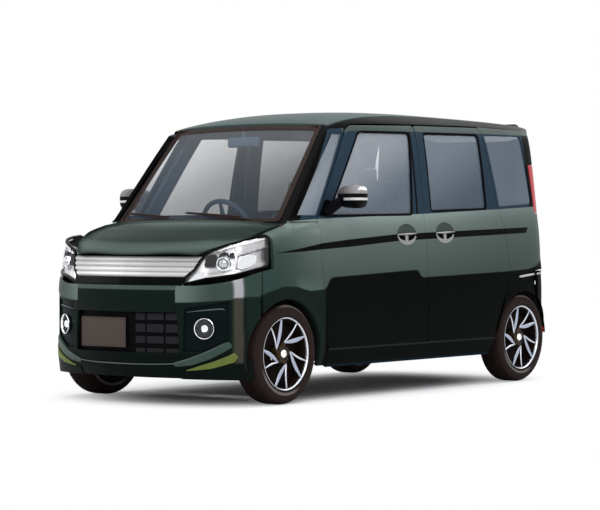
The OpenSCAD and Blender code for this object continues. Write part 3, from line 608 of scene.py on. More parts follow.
class Graph:
    """A material's node graph, with the shader's sockets within reach."""

    def __init__(self, name: str) -> None:
        """Starts a material with one Principled shader."""
        self.material = bpy.data.materials.new(name)
        self.material.use_nodes = True
        self.tree = self.material.node_tree
        self.shader = self.tree.nodes["Principled BSDF"]
        coords = self.node("ShaderNodeTexCoord")
        self.place = coords.outputs["Object"]
        split = self.node("ShaderNodeSeparateXYZ", sockets={"Vector": self.place})
        self.x, self.y, self.z = (Value(self, split.outputs[a]) for a in "XYZ")

    def node(self, kind: str, settings: dict[str, object] | None = None,
             sockets: dict[str, object] | Sequence[object] = ()) -> bpy.types.Node:
        """Adds a node.

        Args:
            kind: The node's type.
            settings: Its properties, and "stops" for a colour ramp.
            sockets: Values, sockets or Values for its inputs, by name or in order.

        Returns:
            The node.
        """
        made = self.tree.nodes.new(kind)
        for key, setting in (settings or {}).items():
            if key == "stops":
                self.fill_ramp(made.color_ramp, setting)
            else:
                setattr(made, key, setting)
        pairs = sockets.items() if isinstance(sockets, dict) else enumerate(sockets)
        for key, given in pairs:
            given = given.socket if isinstance(given, Value) else given
            if isinstance(given, bpy.types.NodeSocket):
                self.tree.links.new(given, made.inputs[key])
            else:
                made.inputs[key].default_value = given
        return made

    @staticmethod
    def fill_ramp(colour_ramp: bpy.types.ColorRamp, stops: Sequence[tuple[float, Sequence[float]]]) -> None:
        """Sets a colour ramp's stops from (position, colour) pairs."""
        while len(colour_ramp.elements) < len(stops):
            colour_ramp.elements.new(1.0)
        for element, (position, colour) in zip(colour_ramp.elements, stops):
            element.position = position
            element.color = (*colour, 1.0)

    def value(self, kind: str, settings: dict[str, object] | None = None,
              sockets: dict[str, object] | Sequence[object] = (), output: int | str = 0) -> Value:
        """Adds a node and returns one of its outputs as a Value."""
        return Value(self, self.node(kind, settings, sockets).outputs[output])

    def mix(self, factor: object, a: object, b: object) -> Value:
        """Colour a where the factor is 0 and b where it is 1."""
        colours = [(*c, 1.0) if isinstance(c, tuple) and len(c) == 3 else c for c in (a, b)]
        made = self.node("ShaderNodeMix", {"data_type": "RGBA"})
        for index, given in zip((0, 6, 7), (factor, *colours)):
            given = given.socket if isinstance(given, Value) else given
            if isinstance(given, bpy.types.NodeSocket):
                self.tree.links.new(given, made.inputs[index])
            else:
                made.inputs[index].default_value = given
        return Value(self, made.outputs[2])

    def blend(self, factor: object, a: object, b: object) -> Value:
        """Number a where the factor is 0 and b where it is 1."""
        return factor * b + (1 - factor) * a

    def noise(self, scale: float, detail: float = 2.0, stretch: tuple[float, float, float] = (1, 1, 1),
              rough: float = 0.5) -> Value:
        """Noise over the piece, about 0 to 1, stretched along an axis by a small factor there."""
        place = self.value("ShaderNodeVectorMath", {"operation": "MULTIPLY"}, [self.place, stretch])
        return self.value("ShaderNodeTexNoise", {"noise_dimensions": "3D"},
                          {"Vector": place, "Scale": scale, "Detail": detail, "Roughness": rough})

    def cells(self, scale: float, output: str = "Distance") -> Value:
        """Cell pattern over the piece."""
        return self.value("ShaderNodeTexVoronoi", {}, {"Vector": self.place, "Scale": scale}, output)

    def curve_of(self, value: Value, low: float, high: float, points: Sequence[Point],
                 floor: float, ceiling: float) -> Value:
        """A straight-lined curve of a value.

        Args:
            value: The position.
            low: Position of the curve's start.
            high: Position of its end.
            points: (position, result) pairs.
            floor: Result that the ramp's black stands for.
            ceiling: Result that its white stands for.

        Returns:
            The result.
        """
        share = (value - low) / (high - low)
        stops = [((p - low) / (high - low), ((v - floor) / (ceiling - floor),) * 3) for p, v in points]
        tone = self.value("ShaderNodeValToRGB", {"stops": stops}, [share])
        return tone * (ceiling - floor) + floor

    def shades(self, value: Value, stops: Sequence[tuple[float, Sequence[float]]]) -> Value:
        """Colours by a value, from (position, colour) pairs."""
        low, high = stops[0][0], stops[-1][0]
        placed = [((p - low) / (high - low), colour) for p, colour in stops]
        return self.value("ShaderNodeValToRGB", {"stops": placed}, [(value - low) / (high - low)])

    def bump(self, height: Value, distance: float, strength: float = 1.0) -> None:
        """Raises the surface by a height of 0 to 1 times the distance in metres."""
        made = self.node("ShaderNodeBump", {}, {"Height": height, "Distance": distance, "Strength": strength})
        self.feed("Normal", made.outputs["Normal"])

    def feed(self, name: str, given: object) -> None:
        """Sets or links one socket of the shader."""
        given = given.socket if isinstance(given, Value) else given
        if isinstance(given, bpy.types.NodeSocket):
            self.tree.links.new(given, self.shader.inputs[name])
        else:
            if isinstance(given, tuple) and len(given) == 3:
                given = (*given, 1.0)
            self.shader.inputs[name].default_value = given


class Finish:
    """A finish made once and shared by its pieces."""

    made: dict["Finish", bpy.types.Material] = {}
    name: str
    slot: str

    def material(self) -> bpy.types.Material:
        """The finish's material."""
        if self not in Finish.made:
            graph = Graph(self.name)
            self.dress(graph)
            Finish.made[self] = graph.material
        return Finish.made[self]

    def dress(self, graph: Graph) -> None:
        """Sets up the shader."""
        raise NotImplementedError


# Height of the edge between the green and the near-black painted reflection of the ground below it, by station, in
# metres.
GROUND_REFLECTION_EDGE = ((-1.70, 0.598), (-1.36, 0.598), (-1.30, 0.622), (-1.165, 0.652), (-1.05, 0.650), (-0.97, 0.632),
             (-0.92, 0.624), (-0.80, 0.630), (-0.772, 0.645), (-0.748, 0.685), (-0.72, 0.697), (0.098, 0.728), (0.125, 0.722), (0.152, 0.690), (0.18, 0.682),
             (1.08, 0.704), (1.36, 0.716), (1.47, 0.735), (1.62, 0.80))
# Belt line and the foot of the green band over the doors.
BELT_EDGE = ((-1.05, 1.012), (-0.80, 1.028), (0.20, 1.062), (1.06, 1.098), (1.60, 1.122))
BAND_EDGE = ((-0.62, 1.600), (-0.50, 1.600), (-0.47, 1.526), (-0.40, 1.540), (0.20, 1.556), (0.95, 1.570), (1.60, 1.578))
# Painted shade and highlight bands on the bonnet, roof, tailgate, spoiler and rear bumper, by station less a share of
# the width squared.
PAINTED_LIGHT_BANDS = ((-1.78, (0.050, 0.072, 0.063)), (-1.66, (0.022, 0.034, 0.029)), (-1.605, (0.066, 0.092, 0.081)),
                (-1.565, (0.050, 0.070, 0.061)), (-1.53, (0.006, 0.012, 0.010)), (-1.39, (0.007, 0.013, 0.011)),
                (-1.31, (0.030, 0.042, 0.037)), (-1.20, (0.090, 0.114, 0.105)), (-0.60, (0.064, 0.088, 0.087)),
                (1.20, (0.062, 0.085, 0.080)), (1.66, (0.026, 0.038, 0.033)))
STRIPE_LINE = ((-1.24, 0.8360), (-1.02, 0.8520), (-0.81, 0.8730), (-0.07, 0.9210), (1.36, 0.9660))


@dataclass(frozen=True)
class GreenPaint(Finish):
    """Dark green pearl above a near-black painted reflection of the ground, with painted highlights and shade, the
    black band of the windows and the side stripe.
    """

    name: str = "green_pearl_paint"
    slot: str = "paint"
    side: bool = True
    gloss: float = 0.12
    metal: float = 0.10
    # Near-black painted reflection of the ground on the lower body.
    lower: tuple[float, float, float] = (0.0006, 0.0012, 0.0010)
    black: tuple[float, float, float] = (0.0015, 0.0016, 0.0018)
    slate: tuple[float, float, float] = (0.018, 0.034, 0.052)

    def dress(self, graph: Graph) -> None:
        """Lays the tones with the painted ground reflection, highlights and shade, then the flake and the clear coat.
        """
        g = graph
        # Below this edge the colour is a painted reflection of the dark ground.
        height = g.curve_of(g.y, -1.7, 1.7, GROUND_REFLECTION_EDGE, 0.5, 0.9)
        tone = (g.z - height).step(-0.004, 0.005)
        belt = g.curve_of(g.y, -1.7, 1.7, BELT_EDGE, 0.9, 1.7)
        cloud = g.noise(2.2, 2.0)
        if self.side:
            # Painted highlight along the belt line, fading to painted shade lower down the side.
            green = g.shades(belt - g.z, ((-0.60, (0.045, 0.060, 0.057)), (-0.40, (0.055, 0.075, 0.070)),
                                          (0.0, (0.225, 0.275, 0.258)), (0.06, (0.140, 0.178, 0.165)),
                                          (0.16, (0.078, 0.104, 0.094)), (0.38, (0.040, 0.056, 0.049))))
            # Painted shade over the front fender, lighter higher up.
            fender_shade = 1 - (g.y + 1.0).step(-0.22, 0.22)
            green = g.mix(fender_shade * (1 - (g.z - 0.80).step(0.0, 0.16) * 0.45) * 0.9, green, (0.014, 0.034, 0.028))
            # Painted shade towards the rear.
            green = g.mix((g.y - 0.20).step(0.0, 0.9) * 0.40, green, (0.030, 0.044, 0.038))
            # Painted highlight just above the reflection's edge, round the fender's rear end.
            glow = (1 - (g.z - height).step(0.0, 0.10)) * (1 - abs((g.y + 0.92) / 0.16).step(0.4, 1.0))
            green = g.mix(glow * 0.6, green, (0.085, 0.125, 0.108))
        else:
            # Painted shade and highlight bands across the plain panels.
            green = g.shades(g.y - g.x * g.x * 0.6, PAINTED_LIGHT_BANDS)
        flake = g.cells(900.0, "Color")
        spark = g.value("ShaderNodeRGBToBW", {}, [flake])
        green = g.mix(spark * 0.10, green, (0.12, 0.17, 0.15))
        green = g.mix(cloud * 0.20, green, (0.040, 0.060, 0.052))
        # Painted ground reflection below the edge: blue-black below 0.2 m, a little lighter ahead of the front door.
        low = g.mix((g.z - 0.200).step(-0.004, 0.004), (0.001, 0.010, 0.020), self.lower)
        low = g.mix(1 - (g.y + 0.79).step(0.0, 0.01), low, (0.0058, 0.0112, 0.0092))
        # Painted highlight along the sill crease.
        crease = (1 - abs(g.z - 0.292).step(0.002, 0.012)) * (g.y + 0.75).step(0.0, 0.02)
        low = g.mix(crease * 0.7 + cloud * 0.1, low, (0.016, 0.022, 0.022))
        colour = g.mix(tone, low, green)
        coat = tone * (self.gloss - 0.01) + 0.01
        if self.side:
            band = g.curve_of(g.y, -1.7, 1.7, BAND_EDGE, 0.9, 1.7)
            dark = (g.z - belt).step(-0.001, 0.001) * (1 - (g.z - band).step(-0.001, 0.001))
            lean = g.y - (g.z - 1.046) * 0.68
            slate = dark * (lean + 0.935).step(0.0, 0.012) * (1 - (g.y - 1.42).step(0.0, 0.004)) \
                * abs(g.y - 0.141).step(0.008, 0.010)
            line = g.curve_of(g.y, -1.7, 1.7, STRIPE_LINE, 0.8, 1.0)
            width = g.curve_of(g.y, -1.7, 1.7, ((-1.24, 0.0), (-1.0, 0.010), (-0.80, 0.0175), (-0.56, 0.0210), (-0.2, 0.0205),
                                               (1.7, 0.0170)),
                               0.0, 0.02)
            reach = (g.y + 1.242).step(0.0, 0.004) * (1 - (g.y - 1.352 - (g.z - 0.953) * 0.9).step(0.0, 0.002))
            stripe = (1 - (abs(g.z - line) - width).step(-0.0008, 0.0008)) * reach
            mask = (dark + stripe).maths("MINIMUM", dark + stripe, 1.0)
            colour = g.mix(mask, colour, self.black)
            colour = g.mix(slate, colour, self.slate)
            coat = coat * (1 - mask * 0.9)
        g.feed("Base Color", colour)
        g.feed("Metallic", tone * self.metal)
        g.feed("Roughness", spark * 0.10 + 0.36)
        g.feed("Coat Weight", coat)
        g.feed("Coat Roughness", 0.08)
        g.feed("Specular IOR Level", 0.01)


@dataclass(frozen=True)
class NosePaint(Finish):
    """Bumper paint: light corners, a dark centre panel under a thin light band, a near-black painted reflection of the
    ground below, painted shade on the sides and painted highlight strips down the creased corners.
    """

    name: str = "green_pearl_bumper"
    slot: str = "paint"
    upper: tuple[float, float, float] = (0.105, 0.145, 0.130)
    shade: tuple[float, float, float] = (0.016, 0.030, 0.024)
    dark: tuple[float, float, float] = (0.0042, 0.0090, 0.0072)
    foot: tuple[float, float, float] = (0.0020, 0.0045, 0.0036)
    # Painted reflection down each corner: olive lower down, a bright highlight above.
    olive: tuple[float, float, float] = (0.042, 0.041, 0.031)
    bright: tuple[float, float, float] = (0.34, 0.34, 0.36)

    def dress(self, graph: Graph) -> None:
        """Lays the panels by place with the painted ground reflection, shade and highlights, then the flake and the
        clear coat.
        """
        g = graph
        reach = abs(g.x)
        # Below this edge the dark colours are a painted reflection of the ground.
        edge = g.curve_of(g.y, -1.72, -1.30, ((-1.72, 0.566), (-1.62, 0.571), (-1.50, 0.588), (-1.44, 0.600),
                                              (-1.30, 0.604)), 0.5, 0.7)
        upper = (g.z - edge).step(-0.004, 0.005)
        centre = 1 - (reach - 0.362).step(-0.001, 0.001)
        band = (g.z - 0.638).step(-0.004, 0.004)
        tone = upper * (1 - centre) + band * centre
        cloud = g.noise(2.2, 2.0)
        across = (reach - 0.36).step(0.0, 0.22)
        green = g.mix(across * 0.8 + cloud * 0.2, self.upper, self.shade)
        # Painted shade on the bumper's side faces.
        side = (g.y + 1.452).step(0.0, 0.03)
        green = g.mix(side * 0.9, green, (0.018, 0.038, 0.031))
        low = g.mix((g.z - 0.27).step(0.0, 0.06), self.foot, self.dark)
        # Lighter painted ground reflection low on the side faces.
        low = g.mix(side * (g.z - 0.25).step(0.0, 0.2) * 0.6, low, (0.007, 0.016, 0.013))
        flake = g.value("ShaderNodeRGBToBW", {}, [g.cells(900.0, "Color")])
        green = g.mix(flake * 0.10, green, (0.12, 0.17, 0.15))
        green = g.mix(centre, green, (0.046, 0.070, 0.060))
        colour = g.mix(tone, low, green)
        # Painted highlight strip down each corner, with olive painted reflection lower down.
        crease = (g.y + 1.506).step(0.0, 0.016) * (1 - (g.y + 1.462).step(0.0, 0.016)) * (reach - 0.5).step(0.0, 0.05)
        crease = crease * (g.z - 0.235).step(0.0, 0.02) * (1 - (g.z - 0.738).step(0.0, 0.012))
        tint = g.mix((g.z - 0.598).step(-0.008, 0.008), self.olive, self.bright)
        colour = g.mix(crease * 0.9, colour, tint)
        g.feed("Base Color", colour)
        g.feed("Metallic", tone * 0.10)
        g.feed("Roughness", flake * 0.10 + 0.36)
        g.feed("Coat Weight", tone * 0.11 + 0.01)
        g.feed("Coat Roughness", 0.08)
        g.feed("Specular IOR Level", 0.02)


@dataclass(frozen=True)
class MirrorShell(Finish):
    """Mirror housing in silver over black, with two bright strips at its outer end."""

    name: str = "mirror_housing_finish"
    slot: str = "paint"

    def dress(self, graph: Graph) -> None:
        """Stripes the housing by height and reach."""
        g = graph
        reach = abs(g.x)
        cloud = g.noise(20.0, 2.0)
        top = (g.z - 1.170).step(-0.003, 0.003)
        strip = (g.z - 1.132).step(-0.002, 0.002) * (1 - (g.z - 1.146).step(-0.002, 0.002)) \
            * (reach - 0.80).step(0.0, 0.02)
        tip = (reach - 0.900).step(0.0, 0.008) * (g.z - 1.186).step(0.0, 0.006)
        bright = (strip + tip).maths("MINIMUM", strip + tip, 1.0)
        silver = g.mix((reach - 0.78).step(0.0, 0.12), (0.085, 0.080, 0.076), (0.26, 0.25, 0.25))
        colour = g.mix(top, (0.0015, 0.0015, 0.0018), silver)
        colour = g.mix(cloud * 0.2 * top, colour, (0.05, 0.05, 0.05))
        g.feed("Base Color", g.mix(bright, colour, (0.62, 0.62, 0.63)))
        g.feed("Metallic", bright * 0.5)
        g.feed("Roughness", cloud * 0.08 + 0.28)
        g.feed("Specular IOR Level", 0.05)


@dataclass(frozen=True)
class Moulded(Finish):
    """Moulded plastic with a fine grain and slight wear."""

    name: str
    slot: str
    colour: tuple[float, float, float]
    roughness: float = 0.5
    grain: float = 900.0
    depth: float = 0.00012
    lift: float = 1.35
    metallic: float = 0.0
    specular: float = 0.10

    def dress(self, graph: Graph) -> None:
        """Varies the tone a little and raises the grain."""
        g = graph
        cloud = g.noise(6.0, 3.0)
        worn = tuple(min(1.0, c * self.lift) for c in self.colour)
        g.feed("Base Color", g.mix(cloud, self.colour, worn))
        g.feed("Roughness", cloud * 0.12 + (self.roughness - 0.06))
        g.feed("Metallic", self.metallic)
        g.feed("Specular IOR Level", self.specular)
        g.bump(g.noise(self.grain, 2.0), self.depth)


@dataclass(frozen=True)
class Metal(Finish):
    """Bare, plated or brushed metal; the brush runs along the axis with the small stretch."""

    name: str
    slot: str
    colour: tuple[float, float, float]
    roughness: float = 0.2
    stretch: tuple[float, float, float] = (1, 1, 1)
    brush: float = 0.1
    grime: float = 0.12
    scale: float = 400.0

    def dress(self, graph: Graph) -> None:
        """Brushes the metal and dulls it in places."""
        g = graph
        lines = g.noise(self.scale, 3.0, self.stretch, 0.65)
        cloud = g.noise(9.0, 3.0)
        dull = tuple(c * 0.55 for c in self.colour)
        g.feed("Base Color", g.mix(cloud * self.grime + lines * self.brush * 0.5, self.colour, dull))
        g.feed("Metallic", 1.0)
        g.feed("Roughness", lines * self.brush + cloud * 0.06 + self.roughness)
        g.bump(lines, 0.00006)


@dataclass(frozen=True)
class BarMetal(Finish):
    """Satin grille bars with painted shade in the valleys between them."""

    name: str = "satin_grille_bars"
    slot: str = "bright_grille"
    foot: float = 0.708
    pitch: float = 0.0275

    def dress(self, graph: Graph) -> None:
        """Paints shade into the valleys and onto the upper bars."""
        g = graph
        valley_shade = abs(((g.z - self.foot) / self.pitch) % 1.0 - 0.5).step(0.30, 0.47)
        lines = g.noise(240.0, 3.0, (0.02, 1, 1), 0.65)
        # Painted shade on the upper bars.
        up = (g.z - 0.715).step(0.0, 0.11)
        tone = g.mix(up, (0.60, 0.60, 0.61), (0.36, 0.36, 0.36))
        tone = g.mix(lines * 0.3, tone, (0.28, 0.28, 0.28))
        g.feed("Base Color", g.mix(valley_shade * 0.7, tone, (0.12, 0.12, 0.12)))
        g.feed("Metallic", 0.75)
        g.feed("Roughness", lines * 0.15 + 0.32)
        g.feed("Specular IOR Level", 0.1)


@dataclass(frozen=True)
class TintedGlass(Finish):
    """Window glass with a blue-grey tint that deepens downwards and rearwards; its pale upper end is a painted
    reflection.
    """

    name: str
    slot: str = "tinted_glass"
    # Painted reflection colour at the pane's upper front end; deep is the tint.
    pale: tuple[float, float, float] = (0.62, 0.68, 0.76)
    deep: tuple[float, float, float] = (0.055, 0.095, 0.15)
    thin: float = 0.35
    thick: float = 0.8
    start: float = -1.5
    span: float = 0.45
    run_y: float = 0.35
    run_z: float = -0.9

    def dress(self, graph: Graph) -> None:
        """Runs the tint and the painted reflection across the pane."""
        g = graph
        share = (g.y * self.run_y + g.z * self.run_z - self.start).step(0.0, self.span)
        cloud = g.noise(1.6, 1.0)
        tint = g.mix(share * 0.85 + cloud * 0.15, self.pale, self.deep)
        g.feed("Base Color", tint)
        g.feed("Alpha", share * (self.thick - self.thin) + self.thin)
        g.feed("Roughness", cloud * 0.02 + 0.03)
        g.feed("Specular IOR Level", 0.3)


@dataclass(frozen=True)
class ClearCover(Finish):
    """Clear or coloured lamp cover with faint optics."""

    name: str
    slot: str
    colour: tuple[float, float, float]
    alpha: float = 0.12
    ribs: float = 0.0
    glow: float = 0.0

    def dress(self, graph: Graph) -> None:
        """Tints the cover and, on a ribbed one, raises upright flutes."""
        g = graph
        cloud = g.noise(14.0, 2.0)
        deep = tuple(c * 0.6 for c in self.colour)
        g.feed("Base Color", g.mix(cloud, self.colour, deep))
        g.feed("Alpha", cloud * 0.04 + self.alpha)
        g.feed("Roughness", cloud * 0.03 + 0.03)
        g.feed("Specular IOR Level", 0.2)
        if self.glow:
            g.feed("Emission Color", g.mix(cloud, self.colour, deep))
            g.feed("Emission Strength", self.glow)
        if self.ribs:
            g.bump(abs((g.z * self.ribs) % 1.0 - 0.5), 0.0006)


@dataclass(frozen=True)
class TyreRubber(Finish):
    """Brown-black rubber, darker on the tread, with a dusty band and two painted highlight arcs on the wall."""

    name: str = "tyre_rubber"
    slot: str = "tyre"
    hub: tuple[float, float] = (AXLE_FRONT * MM, TYRE_RADIUS * MM)

    def dress(self, graph: Graph) -> None:
        """Lays the wall's band by its distance from the hub, and the painted highlight arcs by angle."""
        g = graph
        dy, dz = g.y - self.hub[0], g.z - self.hub[1]
        radius = (dy * dy + dz * dz).maths("SQRT", dy * dy + dz * dz)
        wall = (radius - 0.206).step(0.0, 0.010) * (1 - (radius - 0.262).step(0.0, 0.010))
        cloud = g.noise(30.0, 4.0)
        g.feed("Roughness", cloud * 0.15 + 0.66)
        g.feed("Specular IOR Level", 0.06)
        angle = g.value("ShaderNodeMath", {"operation": "ARCTAN2"}, [dz, dy])
        # Painted highlight arcs on the wall, high towards the rear and low towards the front.
        high = (1 - abs((angle - 0.70) / 1.20).step(0.72, 1.0)) * (1 - abs((radius - 0.264) / 0.0075).step(0.5, 1.0))
        low = (1 - abs((angle + 1.92) / 0.95).step(0.6, 1.0)) * (1 - abs((radius - 0.222) / 0.010).step(0.5, 1.0))
        rubber = g.mix(wall * 0.5 + cloud * 0.25, (0.0085, 0.0045, 0.0040), (0.022, 0.014, 0.012))
        g.feed("Base Color", g.mix((high + low) * 0.75, rubber, (0.16, 0.145, 0.14)))
        rings = abs((radius * 420.0) % 1.0 - 0.5) * wall
        g.bump(rings + cloud * 0.4, 0.0006)


@dataclass(frozen=True)
class Cloth(Finish):
    """Woven seat cloth."""

    name: str
    slot: str
    colour: tuple[float, float, float]
    second: tuple[float, float, float]
    pitch: float = 420.0

    def dress(self, graph: Graph) -> None:
        """Crosses two sets of threads and adds a faint mottle."""
        g = graph
        warp = abs((g.x * self.pitch + g.y * self.pitch) % 1.0 - 0.5)
        weft = abs((g.z * self.pitch + g.y * self.pitch * 0.5) % 1.0 - 0.5)
        thread = warp + weft
        cloud = g.noise(18.0, 3.0)
        g.feed("Base Color", g.mix(thread * 0.6 + cloud * 0.4, self.colour, self.second))
        g.feed("Roughness", cloud * 0.1 + 0.82)
        g.feed("Sheen Weight", 0.25)
        g.feed("Specular IOR Level", 0.2)
        g.bump(thread, 0.0004)


PAINT_SIDE = GreenPaint()
PAINT_PLAIN = GreenPaint(name="green_pearl_paint_plain", side=False, gloss=0.025, metal=0.03)
PIANO = Moulded("gloss_black_panel", "piano_black", (0.0012, 0.0014, 0.0017), 0.24, 1500.0, 0.00001, 1.6, 0.0, 0.03)
TRIM = Moulded("black_grained_trim", "black_trim", (0.0020, 0.0020, 0.0024), 0.55, specular=0.02)
BROWN_TRIM = Moulded("brown_black_screen_surround", "black_trim", (0.018, 0.0105, 0.0090), 0.5, specular=0.08)
SEAL = Moulded("rubber_seal", "black_trim", (0.0020, 0.0020, 0.0024), 0.7, 500.0, 0.0002, specular=0.02)
LINER = Moulded("wheel_house_liner", "underbody", (0.007, 0.007, 0.0075), 0.8, 240.0, 0.0008, 1.8, 0.0, 0.1)
UNDERBODY = Moulded("underbody_coat", "underbody", (0.010, 0.011, 0.012), 0.7, 300.0, 0.0006, 1.8, 0.0, 0.2)
CABIN = Moulded("slate_cabin_trim", "cabin_plastic", (0.034, 0.058, 0.090), 0.7, 700.0, 0.0002, 1.3, specular=0.03)
HEADLINER = Moulded("headlining", "cabin_plastic", (0.048, 0.076, 0.112), 0.85, 1200.0, 0.0003, 1.2, specular=0.03)
GRIP = Moulded("steering_wheel_grip", "wheel_grip", (0.036, 0.062, 0.094), 0.6, 600.0, 0.0002, specular=0.03)
SATIN = Metal("satin_silver_bars", "bright_grille", (0.50, 0.50, 0.51), 0.34, (0.02, 1, 1), 0.22)
GRILLE_BARS = BarMetal()
CHROME = Metal("bright_chrome", "bright_grille", (0.86, 0.87, 0.89), 0.06, (1, 1, 1), 0.03, 0.05)
SMOKE_CHROME = Metal("shaded_reflector", "bright_grille", (0.30, 0.31, 0.33), 0.18, (1, 1, 1), 0.05)
ALLOY = Metal("wheel_alloy", "wheel_alloy", (0.62, 0.64, 0.69), 0.26, (1, 1, 1), 0.06, 0.2)
BRONZE = Moulded("bronze_hub", "wheel_alloy", (0.022, 0.013, 0.005), 0.45, 500.0, 0.0001, 1.7, 0.3)
DARK_WELL = Moulded("dark_wheel_barrel", "wheel_alloy", (0.0055, 0.0030, 0.0026), 0.6, specular=0.05)
CORE = Metal("radiator_core", "core_alloy", (0.35, 0.36, 0.38), 0.4, (1, 1, 0.05), 0.2, 0.4)
IRON = Moulded("engine_iron", "engine_iron", (0.055, 0.056, 0.058), 0.5, 200.0, 0.0006, 1.7, 0.7)
STEEL = Metal("exhaust_steel", "exhaust_steel", (0.42, 0.40, 0.38), 0.34, (1, 0.06, 1), 0.15, 0.5)
CHASSIS = Moulded("chassis_iron", "chassis_iron", (0.020, 0.020, 0.021), 0.5, 200.0, 0.0006, 1.8, 0.5)
PLATE = Moulded("blank_plate", "plate", (0.058, 0.045, 0.040), 0.5, 700.0, 0.00004, 1.1, specular=0.05)
LENS = ClearCover("clear_lamp_cover", "clear_lens", (0.80, 0.82, 0.84), 0.03)
RED_LENS = ClearCover("red_lamp_cover", "red_lens", (0.50, 0.006, 0.016), 0.93, 120.0)
SCREEN_GLASS = TintedGlass("windscreen_glass", pale=(0.80, 0.83, 0.87), deep=(0.30, 0.36, 0.43), thin=0.07,
                           thick=0.04, start=-1.8, span=0.6)
DOOR_GLASS = TintedGlass("front_door_glass", pale=(0.66, 0.70, 0.76), deep=(0.080, 0.115, 0.158), thin=0.26,
                         thick=0.50)
REAR_GLASS = TintedGlass("rear_door_glass", pale=(0.26, 0.31, 0.37), deep=(0.030, 0.055, 0.086), start=-1.30,
                         span=0.55, thin=0.40, thick=0.74)
PRIVACY_GLASS = TintedGlass("privacy_glass", pale=(0.052, 0.082, 0.118), deep=(0.035, 0.062, 0.092), start=-1.3,
                            thin=0.88, thick=0.93)
SEAT_CLOTH = Cloth("seat_cloth", "seat_fabric", (0.030, 0.052, 0.082), (0.048, 0.074, 0.108))
BUMPER_PAINT = NosePaint()
POD_BLACK = Moulded("blue_black_pod", "piano_black", (0.0022, 0.0042, 0.0048), 0.34, 1200.0, 0.00002, 1.8, 0.0, 0.02)
POD_LINE = Moulded("pod_edge_line", "piano_black", (0.060, 0.075, 0.080), 0.4, 900.0, 0.00002, 1.5)
LAMP_BLACK = Moulded("lamp_black", "piano_black", (0.0010, 0.0010, 0.0012), 0.3, 900.0, 0.00002, 1.8, 0.0, 0.02)
LAMP_CHROME = Metal("lamp_bowl_chrome", "bright_grille", (0.70, 0.70, 0.71), 0.20, (1, 0.2, 0.05), 0.30, 0.9, 60.0)
PROJECTOR = Metal("projector_eye", "bright_grille", (0.55, 0.56, 0.58), 0.08, (1, 1, 1), 0.05, 0.6)
SWOOSH_PAINT = Moulded("swoosh_green", "paint", (0.021, 0.036, 0.029), 0.4, 900.0, 0.00003, 1.9)
# Lime sheet on the lower lip, a painted reflection.
LIME_REFLECTION = Moulded("lime_reflection", "paint", (0.082, 0.105, 0.024), 0.45, 900.0, 0.00003, 1.5, specular=0.05)
CELL_GREY = Moulded("grille_cell_grey", "black_trim", (0.0115, 0.0115, 0.0135), 0.5, 700.0, 0.0001, 1.4, specular=0.04)
# Darker copy of the body green: painted shade in the door handle cups.
CUP_SHADE = Moulded("handle_cup_painted_shade", "paint", (0.050, 0.066, 0.060), 0.45, 900.0, 0.00003, 1.3)
GRIP_CHROME = Metal("door_grip_chrome", "bright_grille", (0.34, 0.34, 0.34), 0.22, (1, 1, 0.05), 0.12, 0.5, 60.0)
WIPER = Moulded("wiper_rubber", "black_trim", (0.016, 0.008, 0.007), 0.55)
MIRROR_SHELL = MirrorShell()
ALLOY_SHADE = Metal("wheel_alloy_shade", "wheel_alloy", (0.40, 0.44, 0.54), 0.34, (1, 1, 1), 0.08, 0.2)
CAP_WHITE = Metal("bright_hub_cap", "wheel_alloy", (0.92, 0.92, 0.93), 0.22, (1, 1, 1), 0.03, 0.03)
DISC = Metal("brake_disc_iron", "chassis_iron", (0.28, 0.28, 0.29), 0.35, (1, 1, 1), 0.15, 0.4)
TYRE_FRONT = TyreRubber(name="tyre_rubber_front")
TYRE_BACK = TyreRubber(name="tyre_rubber_rear", hub=(AXLE_REAR * MM, TYRE_RADIUS * MM))
DASH = Moulded("slate_dashboard", "cabin_plastic", (0.036, 0.062, 0.096), 0.7, 500.0, 0.0003, 1.2, specular=0.03)
CARPET = Moulded("cabin_carpet", "cabin_plastic", (0.018, 0.026, 0.038), 0.9, 1600.0, 0.0008, 1.8, 0.0, 0.1)
QUARTER_GLASS = TintedGlass("quarter_glass", pale=(0.52, 0.57, 0.63), deep=(0.036, 0.062, 0.094), span=0.42, thin=0.22,
                            thick=0.86)
KEPT_FINISHES = {"UNDERBODY": UNDERBODY, "CABIN": CABIN, "CORE": CORE, "IRON": IRON, "STEEL": STEEL,
                 "CHASSIS": CHASSIS}


# Panel outlines, in station and height

DOOR = [(-752, 300), (-770, 420), (-794, 656), (-816, 750), (-823, 880), (-805, 1024), (-786, 1046),
        (-446, 1545), (-400, 1572), (190, 1590), (197, 1500), (201, 1060), (226, 600), (230, 300)]
DOOR_WINDOW = [(-712, 1046), (-352, 1524), (-320, 1538), (120, 1546), (136, 1532), (88, 1066), (70, 1058)]
SLIDER = [(236, 300), (232, 600), (207, 1060), (204, 1500), (202, 1590), (905, 1604), (925, 1560),
          (1022, 1100), (1050, 1050), (1094, 945), (1124, 690), (1084, 566), (1030, 420), (990, 300)]
SLIDER_WINDOW = [(288, 1090), (284, 1536), (296, 1548), (868, 1560), (884, 1546), (898, 1112), (886, 1098),
                 (300, 1080)]
QUARTER_WINDOW = [(1056, 1114), (1046, 1126), (960, 1548), (968, 1562), (1384, 1570), (1400, 1558),
                  (1456, 1150), (1444, 1134)]
FRONT_WINDOW = [(-962, 1046), (-588, 1506), (-566, 1522), (-486, 1522), (-806, 1046)]
GATE_WINDOW = [(-520, 1086), (-500, 1075), (500, 1075), (520, 1086), (500, 1520), (484, 1535), (-484, 1535),
               (-500, 1520)]
HANDLE_SIZE = (100.0, 64.0)
HANDLES = {"front": (16.5, 939.0), "rear": (418.5, 949.0)}
WALL = 46.0


